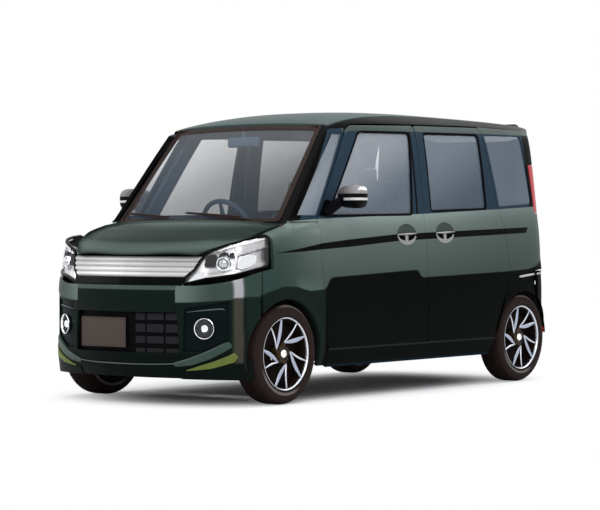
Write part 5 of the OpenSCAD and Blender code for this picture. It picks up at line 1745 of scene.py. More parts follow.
@dataclass
class HeadLamp:
    """Headlamp: black seal, chrome bowl, dark square, projector, slanted oblong and clear cover."""

    side: Side
    outline: tuple[Point, ...] = ((256, 668), (276, 716), (308, 752), (328, 806), (348, 836), (384, 858), (462, 882),
                                  (615, 908), (760, 926), (862, 934), (870, 916), (858, 800), (846, 764),
                                  (735, 748), (585, 724), (375, 700))

    def build(self) -> None:
        """Makes the lamp's pieces."""
        edge = rounded(self.outline, 14)
        word = self.side.word
        self.add(f"lamp_bowl_{word}", sheet(swollen(edge, -6), self.bowl, 9.0, roll=0), LAMP_CHROME,
                 ["lamp_housings"] if self.side is Side.LEFT else [])
        seal = sheet(swollen(edge, 3), self.at(1.0), 9.0, [swollen(edge, -5)], roll=1.5, depth=16)
        self.add(f"lamp_seal_{word}", seal, PIANO)
        cover = sheet(swollen(edge, -5), self.at(3.0), 12.0, roll=0)
        self.add(f"lamp_cover_{word}", cover, LENS, ["lamp_lenses"] if self.side is Side.LEFT else [])
        self.inside()

    def add(self, name: str, bm: bmesh.types.BMesh, finish: Finish, stands_for: Sequence[str] = ()) -> None:
        """Puts a left-hand mesh on this lamp's side and makes its piece."""
        if self.side is Side.RIGHT:
            flip_x(bm)
        piece(name, bm, finish, "body", stands_for)

    @staticmethod
    def at(inset: float) -> Surface:
        """The nose at an inset."""
        return lambda s, z: FORM.nose(s * MM, z, inset)

    def bowl(self, s: float, z: float) -> Vector:
        """Reflector surface, stepped behind the lamps and sweeping up to the rear."""
        low = 668 + (s - 258) * 0.155
        depth = 22 + 14 * ramp((s - 300) / 90) * ramp((z - low - 24) / 20)
        depth -= 18 * ramp((z - low - 96) / 12) * ramp((s - 420) / 60)
        return FORM.nose(s * MM, z, depth)

    def turn(self, s: float, z: float, inset: float, slant: float = 0.25) -> Matrix:
        """Places a turned part so that it looks forwards at a spot of the lamp."""
        spot = FORM.nose(s * MM, z, inset)
        return Matrix.Translation(spot) @ Matrix.Rotation(-math.pi / 2 + slant, 4, "Z")

    def inside(self) -> None:
        """Projector, dark square, oblong and the lower strip."""
        word = self.side.word
        ring = [(-24, 42), (0, 40), (8, 37), (9, 33), (6, 30), (-24, 28), (-24, 42)]
        self.add(f"projector_ring_{word}", place(lathe(ring, 48), self.turn(468, 780, 22, 0.5)), CHROME)
        eye = [(-24, 30), (-4, 30), (6, 24), (13, 12), (15, 0)]
        self.add(f"projector_eye_{word}", place(lathe(eye, 40), self.turn(468, 780, 22, 0.5)), PROJECTOR)
        shade = [self.at(12)(s, z) for s, z in ((432, 816), (446, 830), (468, 836), (492, 832), (506, 818))]
        self.add(f"projector_shade_{word}", tube(shade, [4, 8, 9, 8, 4], 8), LAMP_BLACK)
        square = sheet(rounded([(352, 768), (352, 810), (372, 828), (408, 828), (408, 768)], 8), self.at(16), 9.0,
                       roll=3, depth=14)
        self.add(f"lamp_square_{word}", square, LAMP_BLACK)
        spot = sheet(rounded([(512, 816), (512, 836), (542, 840), (542, 818)], 5), self.at(12), 9.0, roll=2, depth=10)
        self.add(f"lamp_spot_{word}", spot, LAMP_BLACK)
        oblong = sheet(rounded([(582, 764), (592, 812), (700, 826), (756, 822), (752, 790), (700, 768), (620, 752)],
                               16), self.at(12), 9.0, roll=7, depth=12)
        self.add(f"lamp_oblong_{word}", oblong, CHROME)
        strip = sheet(rounded([(285, 684), (316, 726), (366, 734), (372, 708)], 8), self.at(14), 9.0, roll=4, depth=8)
        self.add(f"lamp_strip_{word}", strip, CHROME)
        fin = [self.at(12)(s, z) for s, z in ((556, 742), (566, 790), (560, 846), (548, 868))]
        self.add(f"lamp_fin_{word}", tube(fin, [5, 8, 8, 4], 8), CHROME)
        brow = [self.at(10)(s, z) for s, z in ((420, 850), (520, 874), (640, 894), (760, 908), (838, 914))]
        self.add(f"lamp_brow_{word}", tube(brow, [5, 10, 12, 11, 5], 10), CHROME)


@dataclass
class Screen:
    """Windscreen, its surround, the cowl and two wipers."""

    frit: float = 0.055

    def surface(self, depth: float) -> Surface:
        """The windscreen at a depth, as a surface of u and v in thousandths."""
        return lambda u, v: FORM.screen(u * MM, v * MM, depth)

    def build(self) -> None:
        """Makes the screen's pieces."""
        outline = rounded([(-985, 12), (985, 12), (985, 985), (-985, 985)], 40)
        inner = rounded([(-938, 44), (938, 44), (938, 944), (-938, 944)], 50)
        pane = join(facing(sheet(outline, self.surface(4), 60.0, roll=0), Vector((0, -1, 1))),
                    facing(sheet(outline, self.surface(9), 60.0, roll=0), Vector((0, 1, -1))))
        panes = bmesh.new()
        for sign in (1, -1):
            for edge in (FRONT_WINDOW, QUARTER_WINDOW):
                side = facing(sheet(rounded(edge, 12), side_surface(7), 50.0, roll=0), Vector((1, 0, 0)))
                join(side, facing(sheet(rounded(edge, 12), side_surface(11), 50.0, roll=0), Vector((-1, 0, 0))))
                if sign < 0:
                    flip_x(side)
                join(panes, side)
        piece("windscreen", pane, SCREEN_GLASS, "body", ["fixed_glass"])
        piece("quarter_glass", panes, QUARTER_GLASS, "body")
        band = facing(sheet(outline, self.surface(2.5), 42.0, [inner], roll=0), Vector((0, -1, 1)))
        hem(band, 1.0, 5.0)
        piece("screen_surround", band, BROWN_TRIM, "body")
        edge = [self.surface(-1.0)(u, v) for u, v in [*outline, outline[0]]]
        piece("screen_seal", tube(edge, [6.0] * len(edge), 8), BROWN_TRIM, "body")
        self.cowl()
        self.wipers()

    def cowl(self) -> None:
        """Grained cowl between the bonnet and the screen, with louvres."""
        def surface(u: float, v: float) -> Vector:
            u, v = u * MM, v * MM
            y = lerp(-1136 + 62 * u * u, -1100 + 78 * u * u, v)
            louvre = 2.0 * math.cos(u * 150) * ramp((0.7 - abs(abs(u) - 0.45) * 2.4) * 3)
            return Vector((u * 640, y, lerp(972, 1001 - 6 * (1 - v), v) + 1.0 + louvre * (v > 0.2)))

        bm = facing(sheet([(-985, 10), (985, 10), (985, 990), (-985, 990)], surface, 16.0, grow=6, roll=0),
                    Vector((0, 0, 1)))
        hem(bm, 1.5, 10.0)
        piece("cowl_panel", bm, BROWN_TRIM, "body", ["cowl"])

    def wipers(self) -> None:
        """Two wipers on their spindles, blade and arm apart."""
        made = bmesh.new()
        for start, end in ((0.66, -0.10), (-0.20, -0.92)):
            blade = [FORM.screen(lerp(start, end, t), 0.045 + 0.045 * t, -7) for t in spread(0.12, 1, 14)]
            arm = [FORM.screen(lerp(start, end, t), 0.02 + 0.055 * t, -15 + 5 * abs(t - 0.3)) for t in spread(0, 0.62, 8)]
            join(made, tube(blade, [3.5, *[5.5] * 13, 3.0], 8, 1.2), tube(arm, [9, 8, 7, 6, 6, 6, 5, 5, 4], 8, 0.7))
            spindle = Matrix.Translation(FORM.screen(start, 0.015, -4)) @ Matrix.Rotation(-math.pi / 2, 4, "Y")
            join(made, place(lathe([(-8, 13), (8, 12), (13, 8), (14, 0)], 24), spindle))
        piece("front_wipers", made, WIPER, "body", ["wipers"])


@dataclass
class Rear:
    """Rear bumper, its accent strip and the tail lamps."""

    shell: BodyShell

    def build(self) -> None:
        """Makes the rear's pieces."""
        self.bumper()
        self.lamps()

    @staticmethod
    def surface(inset: float) -> Surface:
        """The tail at an inset, as a surface of its walk in thousandths and of height."""
        return lambda s, z: FORM.tail(s * MM, z, inset)

    def bumper(self) -> None:
        """Bumper skin, dark below, with a reflector and an accent strip at each corner."""
        side = [(FORM.tail_station(1448) * 1000, 700), (FORM.tail_station(1470) * 1000, 640)]
        arch = []
        for a in spread(58, -16, 12):
            y = AXLE_REAR + (ARCH_REAR + 3) * math.cos(math.radians(a))
            arch.append((FORM.tail_station(y) * 1000, TYRE_RADIUS + (ARCH_REAR + 3) * math.sin(math.radians(a))))
        half = [(0, 608), (FORM.tail_share(606) * 1000, 608), (FORM.tail_share(612) * 1000, 700), side[0],
                *[p for p in arch if p[1] > 205], (FORM.tail_station(1570) * 1000, 204), (0, 204)]
        outline = [*half, *[(-s, z) for s, z in reversed(half[1:-1])]]

        def surface(s: float, z: float) -> Vector:
            step = 5 * ramp((330 - z) / 16)
            return FORM.tail(s * MM, z, step)

        piece("rear_bumper_skin", sheet(outline, surface, 14.0, depth=14.0), PAINT_PLAIN, "body", ["rear_bumper"])
        for sign, word in ((1, "left"), (-1, "right")):
            path = [self.shell.quarter_point(y, lerp(668, 690, (y - 1245) / 290)) for y in spread(1245, 1535, 12)]
            path += [FORM.tail(s * MM, z, -3) for s, z in ((740, 690), (700, 690))]
            strip = tube(path, [1.5, *[5.5] * 13, 3.0], 8, 1.3)
            if sign < 0:
                flip_x(strip)
            piece(f"accent_strip_{word}", strip, SATIN, "body")
            band = NoseTrim.both(rounded([(480, 300), (620, 300), (620, 336), (480, 336)], 8))[0 if sign > 0 else 1]
            piece(f"reflector_{word}", sheet(band, self.surface(-3), 9.0, roll=2, depth=8), RED_LENS, "body")

    def lamps(self) -> None:
        """Upright tail lamps round the rear corners."""
        end = self.shell.quarter_turn + self.shell.quarter_run
        outline = rounded([(1461, 1385), (1495, 1080), (end - 1, 1080), (end - 1, 1385)], 8)

        def outer(s: float, z: float) -> Vector:
            return self.shell.quarter_point(s, z)

        def inner(s: float, z: float) -> Vector:
            point = self.shell.quarter_point(s, z)
            return point + Vector((-20, -16, 0))

        self.shell.mirrored("tail_lamp_covers", lambda: sheet(outline, outer, 9.0, roll=1.5, depth=14), RED_LENS,
                            ["tail_lamps"])
        self.shell.mirrored("tail_lamp_bowls", lambda: sheet(outline, inner, 16.0, roll=0), LAMP_CHROME)


@dataclass
class DoorMirror:
    """Door mirror on its stalk, with a silver and black housing."""

    side: Side
    centre: tuple[float, float, float] = (828, -652, 1152)
    half: tuple[float, float, float] = (95, 64, 70)

    def build(self) -> None:
        """Makes the housing, the glass and the stalk."""
        body = f"door_{self.side.word}"
        shell = bmesh.new()
        bmesh.ops.create_uvsphere(shell, u_segments=48, v_segments=28, radius=1)
        centre, half = Vector(self.centre), Vector(self.half)
        for vert in shell.verts:
            p = vert.co
            box = Vector([math.copysign(abs(v) ** 0.62, v) for v in p])
            box.y = box.y if box.y < 0.35 else 0.35 + (box.y - 0.35) * 0.15
            box.z *= 1 - 0.14 * (1 - box.x) * 0.5
            box.y -= 0.18 * box.x
            vert.co = centre + Vector((box.x * half.x, box.y * half.y, box.z * half.z))
        pane = bmesh.new()
        bmesh.ops.create_circle(pane, segments=40, radius=1, cap_ends=True)
        for vert in pane.verts:
            p = vert.co
            vert.co = centre + Vector((math.copysign(abs(p.x) ** 0.6, p.x) * half.x * 0.88,
                                       half.y * 0.47 - 0.18 * half.y * p.x,
                                       math.copysign(abs(p.y) ** 0.6, p.y) * half.z * 0.82))
        facing(pane, Vector((0, 1, 0)))
        stalk = tube([Vector((702, -740, 1052)), Vector((716, -724, 1078)), Vector((738, -704, 1106)),
                      Vector((768, -680, 1130))], [34, 38, 40, 34], 14, 0.8)
        sail = sheet(rounded([(-786, 1046), (-690, 1046), (-664, 1128), (-716, 1140)], 8),
                     lambda y, z: Vector((FORM.skin_x(y, z) + 2.5, y, z)), 12.0, roll=1.5, depth=10)
        made = {"housing": (shell, MIRROR_SHELL), "pane": (pane, CHROME), "stalk": (stalk, TRIM), "sail": (sail, PIANO)}
        for key, (bm, finish) in made.items():
            if self.side is Side.RIGHT:
                flip_x(bm)
            replaced = [f"mirror_{self.side.word}"] if key == "housing" else []
            piece(f"mirror_{key}_{self.side.word}", bm, finish, body, replaced)


@dataclass
class Wheel:
    """Tyre with tread, and a rim of five swept pairs of blades round a bronze hub."""

    name: str
    side: Side
    station: float
    pairs: int = 5
    lugs: int = 72

    @property
    def body(self) -> str:
        """The body that the wheel turns on."""
        return f"wheel_{self.name}"

    @property
    def seat(self) -> Matrix:
        """Places a wheel built about the X axis, its outer face towards +X."""
        half = HALF_TRACK[self.station]
        turn = Matrix.Translation((self.side.value * half, self.station, TYRE_RADIUS))
        return turn @ Matrix.Diagonal((self.side.value, 1, 1, 1))

    def build(self) -> None:
        """Makes the wheel's pieces and its brake."""
        self.tyre()
        self.rim()
        self.blades()
        self.hub()
        self.brake()

    def add(self, name: str, bm: bmesh.types.BMesh, finish: Finish, stands_for: Sequence[str] = (),
            body: str = "", crisp: float = 40.0) -> None:
        """Seats a mesh on this wheel and makes its piece."""
        piece(f"{name}_{self.name}", place(bm, self.seat), finish, body or self.body, stands_for, crisp)

    def tyre(self) -> None:
        """Tyre with four grooves, cut shoulders and a rim flange line."""
        w, r = TYRE_WIDTH / 2, TYRE_RADIUS
        profile: list[Point] = [(-w + 12, 189), (-w + 2, 206), (-w, 226), (-w + 1, 242), (-w + 6, 258), (-w + 14, 269),
                                (-w + 26, 277), (-w + 38, 279.6)]
        for centre in (-30, -10, 10, 30):
            profile += [(centre - 4.5, r - 0.3), (centre - 3.2, r - 6), (centre + 3.2, r - 6), (centre + 4.5, r - 0.3)]
        profile += [(w - 38, 279.6), (w - 26, 277), (w - 14, 269), (w - 6, 258), (w - 3.4, 252), (w - 1.8, 250),
                    (w - 1, 242), (w, 226), (w - 2, 212), (w - 3.2, 209), (w - 5, 203.5), (w - 12, 189)]
        bm = lathe(profile, self.lugs * 3)
        for vert in bm.verts:
            p = vert.co
            radius = math.hypot(p.y, p.z)
            column = round(math.atan2(p.y, p.z) / math.tau * self.lugs * 3) % 3
            shoulder = ramp((abs(p.x) - 36) / 3) * ramp((radius - 262) / 6)
            centre = ramp((8 - abs(abs(p.x) - 20)) / 3) * ramp((radius - 279) / 0.5) * 0.4
            if column == 0 and radius > 262:
                cut = 5.0 * max(shoulder, centre)
                p.y *= (radius - cut) / radius
                p.z *= (radius - cut) / radius
        finish = {AXLE_FRONT: TYRE_FRONT, AXLE_REAR: TYRE_BACK}[self.station]
        self.add("tyre_tread", bm, finish, [f"tyre_{self.name}"], crisp=32.0)

    def rim(self) -> None:
        """Dark barrel and a thin bright lip."""
        w = TYRE_WIDTH / 2
        barrel = [(-w + 12, 181), (-w + 10, 196), (-w + 13, 198), (-w + 18, 188), (-40, 184), (w - 24, 186),
                  (w - 15, 189), (w - 14, 186), (w - 26, 181), (-40, 178), (-w + 12, 181)]
        self.add("rim_barrel", lathe(barrel, 96), DARK_WELL, [f"rim_{self.name}"])
        lip = [(w - 15, 193), (w - 9, 195.5), (w - 6, 199.8), (w - 3.5, 200.8), (w - 2.5, 199.2), (w - 4, 197),
               (w - 9, 193.5), (w - 15, 191), (w - 15, 193)]
        self.add("rim_lip", lathe(lip, 120), ALLOY)
        well = [(8, 178), (8, 60), (12, 60), (12, 178)]
        self.add("rim_back", lathe([*well, well[0]], 96), DARK_WELL)

    def blade(self, start: float, end: float, width: float, thick: float) -> bmesh.types.BMesh:
        """One blade from near the hub out to the lip, fattest past its middle.

        Args:
            start: Angle at the hub in degrees, from the rear and over the top.
            end: Angle at the lip.
            width: Half width at its widest.
            thick: Half thickness.

        Returns:
            The blade's mesh.
        """
        path, widths = [], []
        inner, outer = arc((0, 0), 64, start, start, 1)[0], arc((0, 0), 191, end, end, 1)[0]
        for t in spread(0, 1, 12):
            bow = 7 * math.sin(math.pi * t)
            y, z = lerp(inner[0], outer[0], t), lerp(inner[1], outer[1], t)
            run = Vector((outer[1] - inner[1], inner[0] - outer[0])).normalized()
            y, z = y + run.x * bow, z + run.y * bow
            path.append(Vector((lerp(60, 70, t) - 6 * (1 - t) ** 2, y, z)))
            widths.append(width * (0.22 + 0.78 * math.sin(math.pi * min(1.0, 0.06 + t * 0.86)) ** 0.8))
        rows = []
        for i, (centre, half) in enumerate(zip(path, widths)):
            run = (path[min(i + 1, 12)] - path[max(i - 1, 0)]).normalized()
            across = run.cross(Vector((1, 0, 0))).normalized()
            row = []
            for a in spread(0, math.tau, 12)[:-1]:
                c, s = math.cos(a), math.sin(a)
                row.append(centre + across * half * math.copysign(abs(c) ** 0.9, c)
                           + Vector((1, 0, 0)) * thick * (s if s > 0 else s * 1.6))
            rows.append(row)
        return loft(rows)

    def blades(self) -> None:
        """Five swept pairs, one blade slim and one broad."""
        slim, broad = bmesh.new(), bmesh.new()
        for k in range(self.pairs):
            at = 10 + 360 / self.pairs * k
            join(slim, self.blade(at, at - 24, 6.5, 4.5))
            join(broad, self.blade(at - 2, at - 54, 12.5, 5.5))
        self.add("rim_blades_slim", slim, ALLOY)
        self.add("rim_blades_broad", broad, ALLOY_SHADE)

    def hub(self) -> None:
        """Bronze hub with its nuts and a bright cap."""
        rows = []
        for x, share in ((14, 0.90), (46, 0.94), (55, 0.86), (58, 0.50), (58, 0.30)):
            row = []
            for a in spread(0, 360, 60)[:-1]:
                lobe = 1 + 0.14 * math.cos(math.radians((a - 10) * self.pairs))
                y, z = arc((0, 0), 62 * lobe * share, a, a, 1)[0]
                row.append(Vector((x, y, z)))
            rows.append(row)
        self.add("rim_hub", loft(rows), BRONZE)
        cap = [(56, 24), (62, 23.5), (67, 20), (70, 12), (71, 0)]
        self.add("rim_cap", lathe(cap, 48), CAP_WHITE)
        nuts = bmesh.new()
        for k in range(4):
            y, z = arc((0, 0), 40, 45 + 90 * k, 45 + 90 * k, 1)[0]
            join(nuts, place(lathe([(52, 9), (62, 8.5), (64, 6), (64, 0)], 6), Matrix.Translation((0, y, z))))
        self.add("wheel_nuts", nuts, CHASSIS, crisp=25.0)

    def brake(self) -> None:
        """Disc on the wheel's inside and a caliper that doesn't turn."""
        disc = [(-8, 60), (-8, 118), (2, 118), (2, 60), (-8, 60)]
        self.add("brake_disc", lathe(disc, 72), DISC)
        front = self.station == AXLE_FRONT
        holder = f"knuckle_{self.side.word}" if front else "body"
        rows = []
        for a in spread(-32, 32, 8):
            inner, outer = arc((0, 0), 78, a, a, 1)[0], arc((0, 0), 128, a, a, 1)[0]
            rows.append([Vector((-28, *inner)), Vector((-28, *outer)), Vector((-14, outer[0] * 1.03, outer[1] * 1.03)),
                         Vector((-10.5, *outer)), Vector((-10.5, *inner))])
        self.add("brake_caliper", loft(rows), CHASSIS, body=holder)


class Pad:
    """A padded form: a rounded block, remeshed, swollen as cloth and sewn along its channels."""

    @staticmethod
    def swell(obj: bpy.types.Object, limit: float) -> None:
        """Blows the mesh up as a closed cloth and caps how far a point moves.

        Args:
            obj: The pad, as a closed even mesh.
            limit: Largest move in metres.
        """
        scene = bpy.context.scene
        rest = [v.co.copy() for v in obj.data.vertices]
        cloth = obj.modifiers.new("swell", "CLOTH")
        cloth.settings.quality = 4
        cloth.settings.mass = 0.25
        cloth.settings.tension_stiffness = 12
        cloth.settings.compression_stiffness = 12
        cloth.settings.bending_stiffness = 1.5
        cloth.settings.use_pressure = True
        cloth.settings.uniform_pressure_force = 4
        cloth.settings.effector_weights.gravity = 0
        cloth.point_cache.frame_start, cloth.point_cache.frame_end = 1, 20
        for frame in range(1, 21):
            scene.frame_set(frame)
        shaped = obj.evaluated_get(bpy.context.evaluated_depsgraph_get()).data
        moved = [v.co.copy() for v in shaped.vertices]
        obj.modifiers.remove(cloth)
        scene.frame_set(1)
        for vert, a, b in zip(obj.data.vertices, rest, moved):
            step = b - a
            vert.co = a + step * min(1.0, limit / max(step.length, 1e-9))

    @staticmethod
    def make(name: str, size: tuple[float, float, float], grooves_x: Sequence[float], grooves_y: Sequence[float],
             voxel: float = 11.0, limit: float = 0.012) -> bpy.types.Mesh:
        """Makes one pad's mesh about the origin, in metres.

        Args:
            name: Name of the mesh.
            size: Full size in millimetres.
            grooves_x: Places of the channels that run along Y.
            grooves_y: Places of the channels that run along X.
            voxel: Remesh size in millimetres.
            limit: Largest swelling in metres.

        Returns:
            The mesh.
        """
        half = Vector(size) / 2 - Vector((8, 8, 8))
        bm = slab(-half, half, min(size) * 0.24, 4)
        bmesh.ops.triangulate(bm, faces=bm.faces)
        for vert in bm.verts:
            vert.co *= MM
        mesh = bpy.data.meshes.new(name)
        bm.to_mesh(mesh)
        bm.free()
        obj = bpy.data.objects.new(name, mesh)
        bpy.context.scene.collection.objects.link(obj)
        even = obj.modifiers.new("even", "REMESH")
        even.mode, even.voxel_size = "VOXEL", voxel * MM
        Pad.settle(obj)
        Pad.swell(obj, limit)
        smooth = obj.modifiers.new("smooth", "SUBSURF")
        smooth.levels = smooth.render_levels = 1
        Pad.settle(obj)
        for vert in obj.data.vertices:
            p = vert.co / MM
            dip = sum(math.exp(-((p.x - g) / 6.5) ** 2) for g in grooves_x)
            dip += sum(math.exp(-((p.y - g) / 6.5) ** 2) for g in grooves_y)
            piping = math.exp(-((abs(p.z) - half.z * 0.62) / 3.5) ** 2) * 2.2
            inward = -p.normalized()
            vert.co += (Vector((0, 0, -math.copysign(1, p.z))) * min(1.0, dip) * 7.0 * ramp((abs(p.z) - half.z * 0.4) / 20)
                        + inward * piping) * MM
        mesh = obj.data
        bpy.data.objects.remove(obj)
        return mesh

    @staticmethod
    def settle(obj: bpy.types.Object) -> None:
        """Replaces the mesh by what its modifiers make of it."""
        shaped = obj.evaluated_get(bpy.context.evaluated_depsgraph_get())
        mesh = bpy.data.meshes.new_from_object(shaped)
        obj.modifiers.clear()
        obj.data = mesh


@dataclass
class Cabin:
    """Seats, dashboard, steering wheel, inner mirror and the trim round them."""

    lean: float = math.radians(-14)
    seat_half: float = 335.0
    rear_half: float = 262.0

    def build(self) -> None:
        """Makes the cabin's pieces."""
        self.seats()
        self.dashboard()
        self.wheel()
        self.small_parts()

    def seats(self) -> None:
        """Two front and two rear seats, each of cushion, back and head rest."""
        pads = {
            "cushion_front": Pad.make("pad_a", (470, 490, 160), (-150, 150), (-60, 90)),
            "back_front": Pad.make("pad_b", (446, 600, 110), (-135, 135), (-120, 60)),
            "cushion_rear": Pad.make("pad_c", (505, 490, 160), (-165, 165), (-60, 90)),
            "back_rear": Pad.make("pad_d", (481, 600, 110), (-150, 150), (-120, 60)),
            "head_rest": Pad.make("pad_e", (250, 150, 90), (), (), 7.0, 0.006),
        }
        first = True
        for row, y, half in (("front", -20.0, self.seat_half), ("rear", 700.0, self.rear_half)):
            for side in Side:
                base = Matrix.Translation((side.value * half, y, 0))
                back = base @ Matrix.Translation((0, 240, 540)) @ Matrix.Rotation(self.lean, 4, "X")
                flat = Matrix.Rotation(math.pi / 2, 4, "X")
                spots = {f"cushion_{row}": base @ Matrix.Translation((0, -5, 510)),
                         f"back_{row}": back @ Matrix.Translation((0, 0, 266)) @ flat,
                         "head_rest": back @ Matrix.Translation((0, 0, 686)) @ flat}
                for key, spot in spots.items():
                    mesh = pads[key].copy()
                    move = Matrix.Translation(spot.translation * MM) @ spot.to_3x3().to_4x4()
                    mesh.transform(move)
                    word = key.split("_")[0]
                    obj = bpy.data.objects.new(f"seat_{word}_{row}_{side.word}", mesh)
                    bpy.context.scene.collection.objects.link(obj)
                    for polygon in mesh.polygons:
                        polygon.use_smooth = True
                    mesh.materials.clear()
                    mesh.materials.append(SEAT_CLOTH.material())
                    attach(obj, "body")
                    if first:
                        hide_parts("seats")
                        first = False
                frame = join(slab((-195, -200, 281), (195, 200, 436), 12), slab((-150, -170, 436), (150, 170, 452), 4))
                place(frame, base)
                for x in (-60, 60):
                    post = tube([Vector((x, 0, 560)), Vector((x, 0, 640))], [6.5, 6.5], 12)
                    join(frame, place(post, back))
                piece(f"seat_base_{row}_{side.word}", frame, TRIM, "body")

    def dashboard(self) -> None:
        """Dashboard with a hooded cluster on the right, a centre screen, vents and a lower shelf."""
        rows = []
        for x in spread(-600, 600, 60):
            hood = math.exp(-((x + 340) / 150) ** 2)
            mid = math.exp(-((x) / 130) ** 4)
            end = 1 - 0.12 * (abs(x) / 600) ** 3
            top = 985 + 20 * end
            rows.append([Vector((x, y, z)) for y, z in (
                (-776, 700), (-776, 960), (-740, 984), (-640, 1000 * end + 8), (-560, top + 24 * hood),
                (-478 + 26 * hood, top - 4 + 30 * hood), (-448 + 30 * hood, top - 22 + 24 * hood),
                (-440 + 6 * hood, 950), (-432 + 10 * mid, 902), (-440 + 14 * mid, 860), (-470 + 20 * mid, 800),
                (-500, 760), (-560, 690), (-700, 680))])
        piece("dashboard_shell", loft(rows), DASH, "body", ["dashboard"], crisp=50)
        screen = slab((-105, -446, 880), (105, -426, 990), 6)
        piece("dash_screen", screen, PIANO, "body")
        vents = bmesh.new()
        for x in (-560, -150, 150, 560):
            for z in spread(908, 952, 4):
                join(vents, slab((x - 38, -441, z - 3), (x + 38, -428, z + 3), 1.5))
        piece("dash_vents", vents, SATIN, "body")

    def wheel(self) -> None:
        """Steering wheel with three spokes and a round pad."""
        seat = Matrix.Translation((-340, -358, 977)) @ Matrix.Rotation(math.radians(-65), 4, "X")
        ring = [Vector((180 * math.cos(a), 180 * math.sin(a), 0)) for a in spread(0, math.tau, 72)]
        rim = tube(ring, [14.5] * 73, 14, 1.15)
        piece("steering_rim", place(rim, seat), GRIP, "steering_wheel", ["steering_wheel"])
        spokes = bmesh.new()
        for a in (0, math.pi, -math.pi / 2):
            way = Vector((math.cos(a), math.sin(a), 0))
            join(spokes, tube([way * t + Vector((0, 0, -22 * (1 - t / 180))) for t in (40, 90, 140, 176)],
                              [24, 19, 14, 12], 12, 0.5))
        pad = place(lathe([(-34, 62), (-18, 70), (-4, 66), (6, 48), (9, 0)], 48), Matrix.Rotation(-math.pi / 2, 4, "Y"))
        column = tube([Vector((0, 0, -30)), Vector((0, 0, -95))], [34, 38], 24)
        piece("steering_pad", place(join(spokes, pad, column), seat), DASH, "steering_wheel")

    def small_parts(self) -> None:
        """Inner mirror, header beam, console with its gear lever, carpet, luggage mat and rear seat bar."""
        mirror = slab((-118, -632, 1452), (118, -604, 1512), 12, 3)
        stem = tube([Vector((0, -622, 1505)), Vector((0, -618, 1540)), Vector((0, -604, 1560))], [8, 8, 14], 10)
        piece("inner_mirror", join(mirror, stem), DASH, "body")
        header = loft([[Vector((x, -560, 1590 - 30 * (abs(x) / 560) ** 2.4)), Vector((x, -470, 1612 - 34 * (abs(x) / 560) ** 2.4)),
                        Vector((x, -440, 1590 - 34 * (abs(x) / 560) ** 2.4)), Vector((x, -500, 1560 - 34 * (abs(x) / 560) ** 2.4)),
                        Vector((x, -556, 1560 - 34 * (abs(x) / 560) ** 2.4))] for x in spread(-548, 548, 20)])
        piece("header_beam", header, HEADLINER, "body")
        console = join(slab((-130, -520, 420), (130, -400, 700), 20, 3), tube([Vector((0, -440, 780)),
                       Vector((0, -380, 820)), Vector((0, -350, 850))], [9, 9, 17], 14))
        piece("console", console, DASH, "body")
        carpet = slab((-600, -770, 281), (600, 985, 289), 2)
        piece("cabin_carpet", carpet, CARPET, "body")
        shelf = slab((-598, 1045, 421), (598, 1570, 429), 2)
        piece("luggage_mat", shelf, CARPET, "body")
        cross = tube([Vector((x, 952, 470)) for x in (-520, 0, 520)], [16, 16, 16], 12)
        piece("rear_seat_bar", cross, CHASSIS, "body")


@dataclass
class Chassis:
    """Wheel house liners, and finishes for the CAD nodes that stay in view."""

    kept: tuple[tuple[str, str], ...] = (
        ("floor_pan", "UNDERBODY"), ("inner_frames", "CABIN"), ("radiator", "CORE"), ("engine_block", "IRON"),
        ("exhaust", "STEEL"), ("rear_axle", "CHASSIS"), ("front_suspension", "CHASSIS"),
        ("knuckle_left", "CHASSIS"), ("knuckle_right", "CHASSIS"))

    def build(self) -> None:
        """Makes the liners and dresses the kept nodes."""
        for side in Side:
            for axle, radius, lo, hi, word in ((AXLE_FRONT, 324, 575, 706, "front"), (AXLE_REAR, 318, 640, 704, "rear")):
                start, end = (196, -10) if word == "front" else (186, 4)
                bm = sheet([(start, lo), (end, lo), (end, hi), (start, hi)],
                           lambda a, x: Vector((x, axle + radius * math.cos(math.radians(a)),
                                                TYRE_RADIUS + radius * math.sin(math.radians(a)))), 7.0, grow=4,
                           roll=0)
                for face in bm.faces:
                    centre = face.calc_center_median()
                    if face.normal.dot(Vector((0, axle, TYRE_RADIUS)) - Vector((0, centre.y, centre.z))) < 0:
                        face.normal_flip()
                if side is Side.RIGHT:
                    flip_x(bm)
                piece(f"liner_{word}_{side.word}", bm, LINER, "body")
        for name, finish in self.kept:
            obj = bpy.data.objects[name]
            made = KEPT_FINISHES[finish].material()
            if obj.material_slots:
                for spot in obj.material_slots:
                    spot.material = made
            else:
                obj.data.materials.append(made)


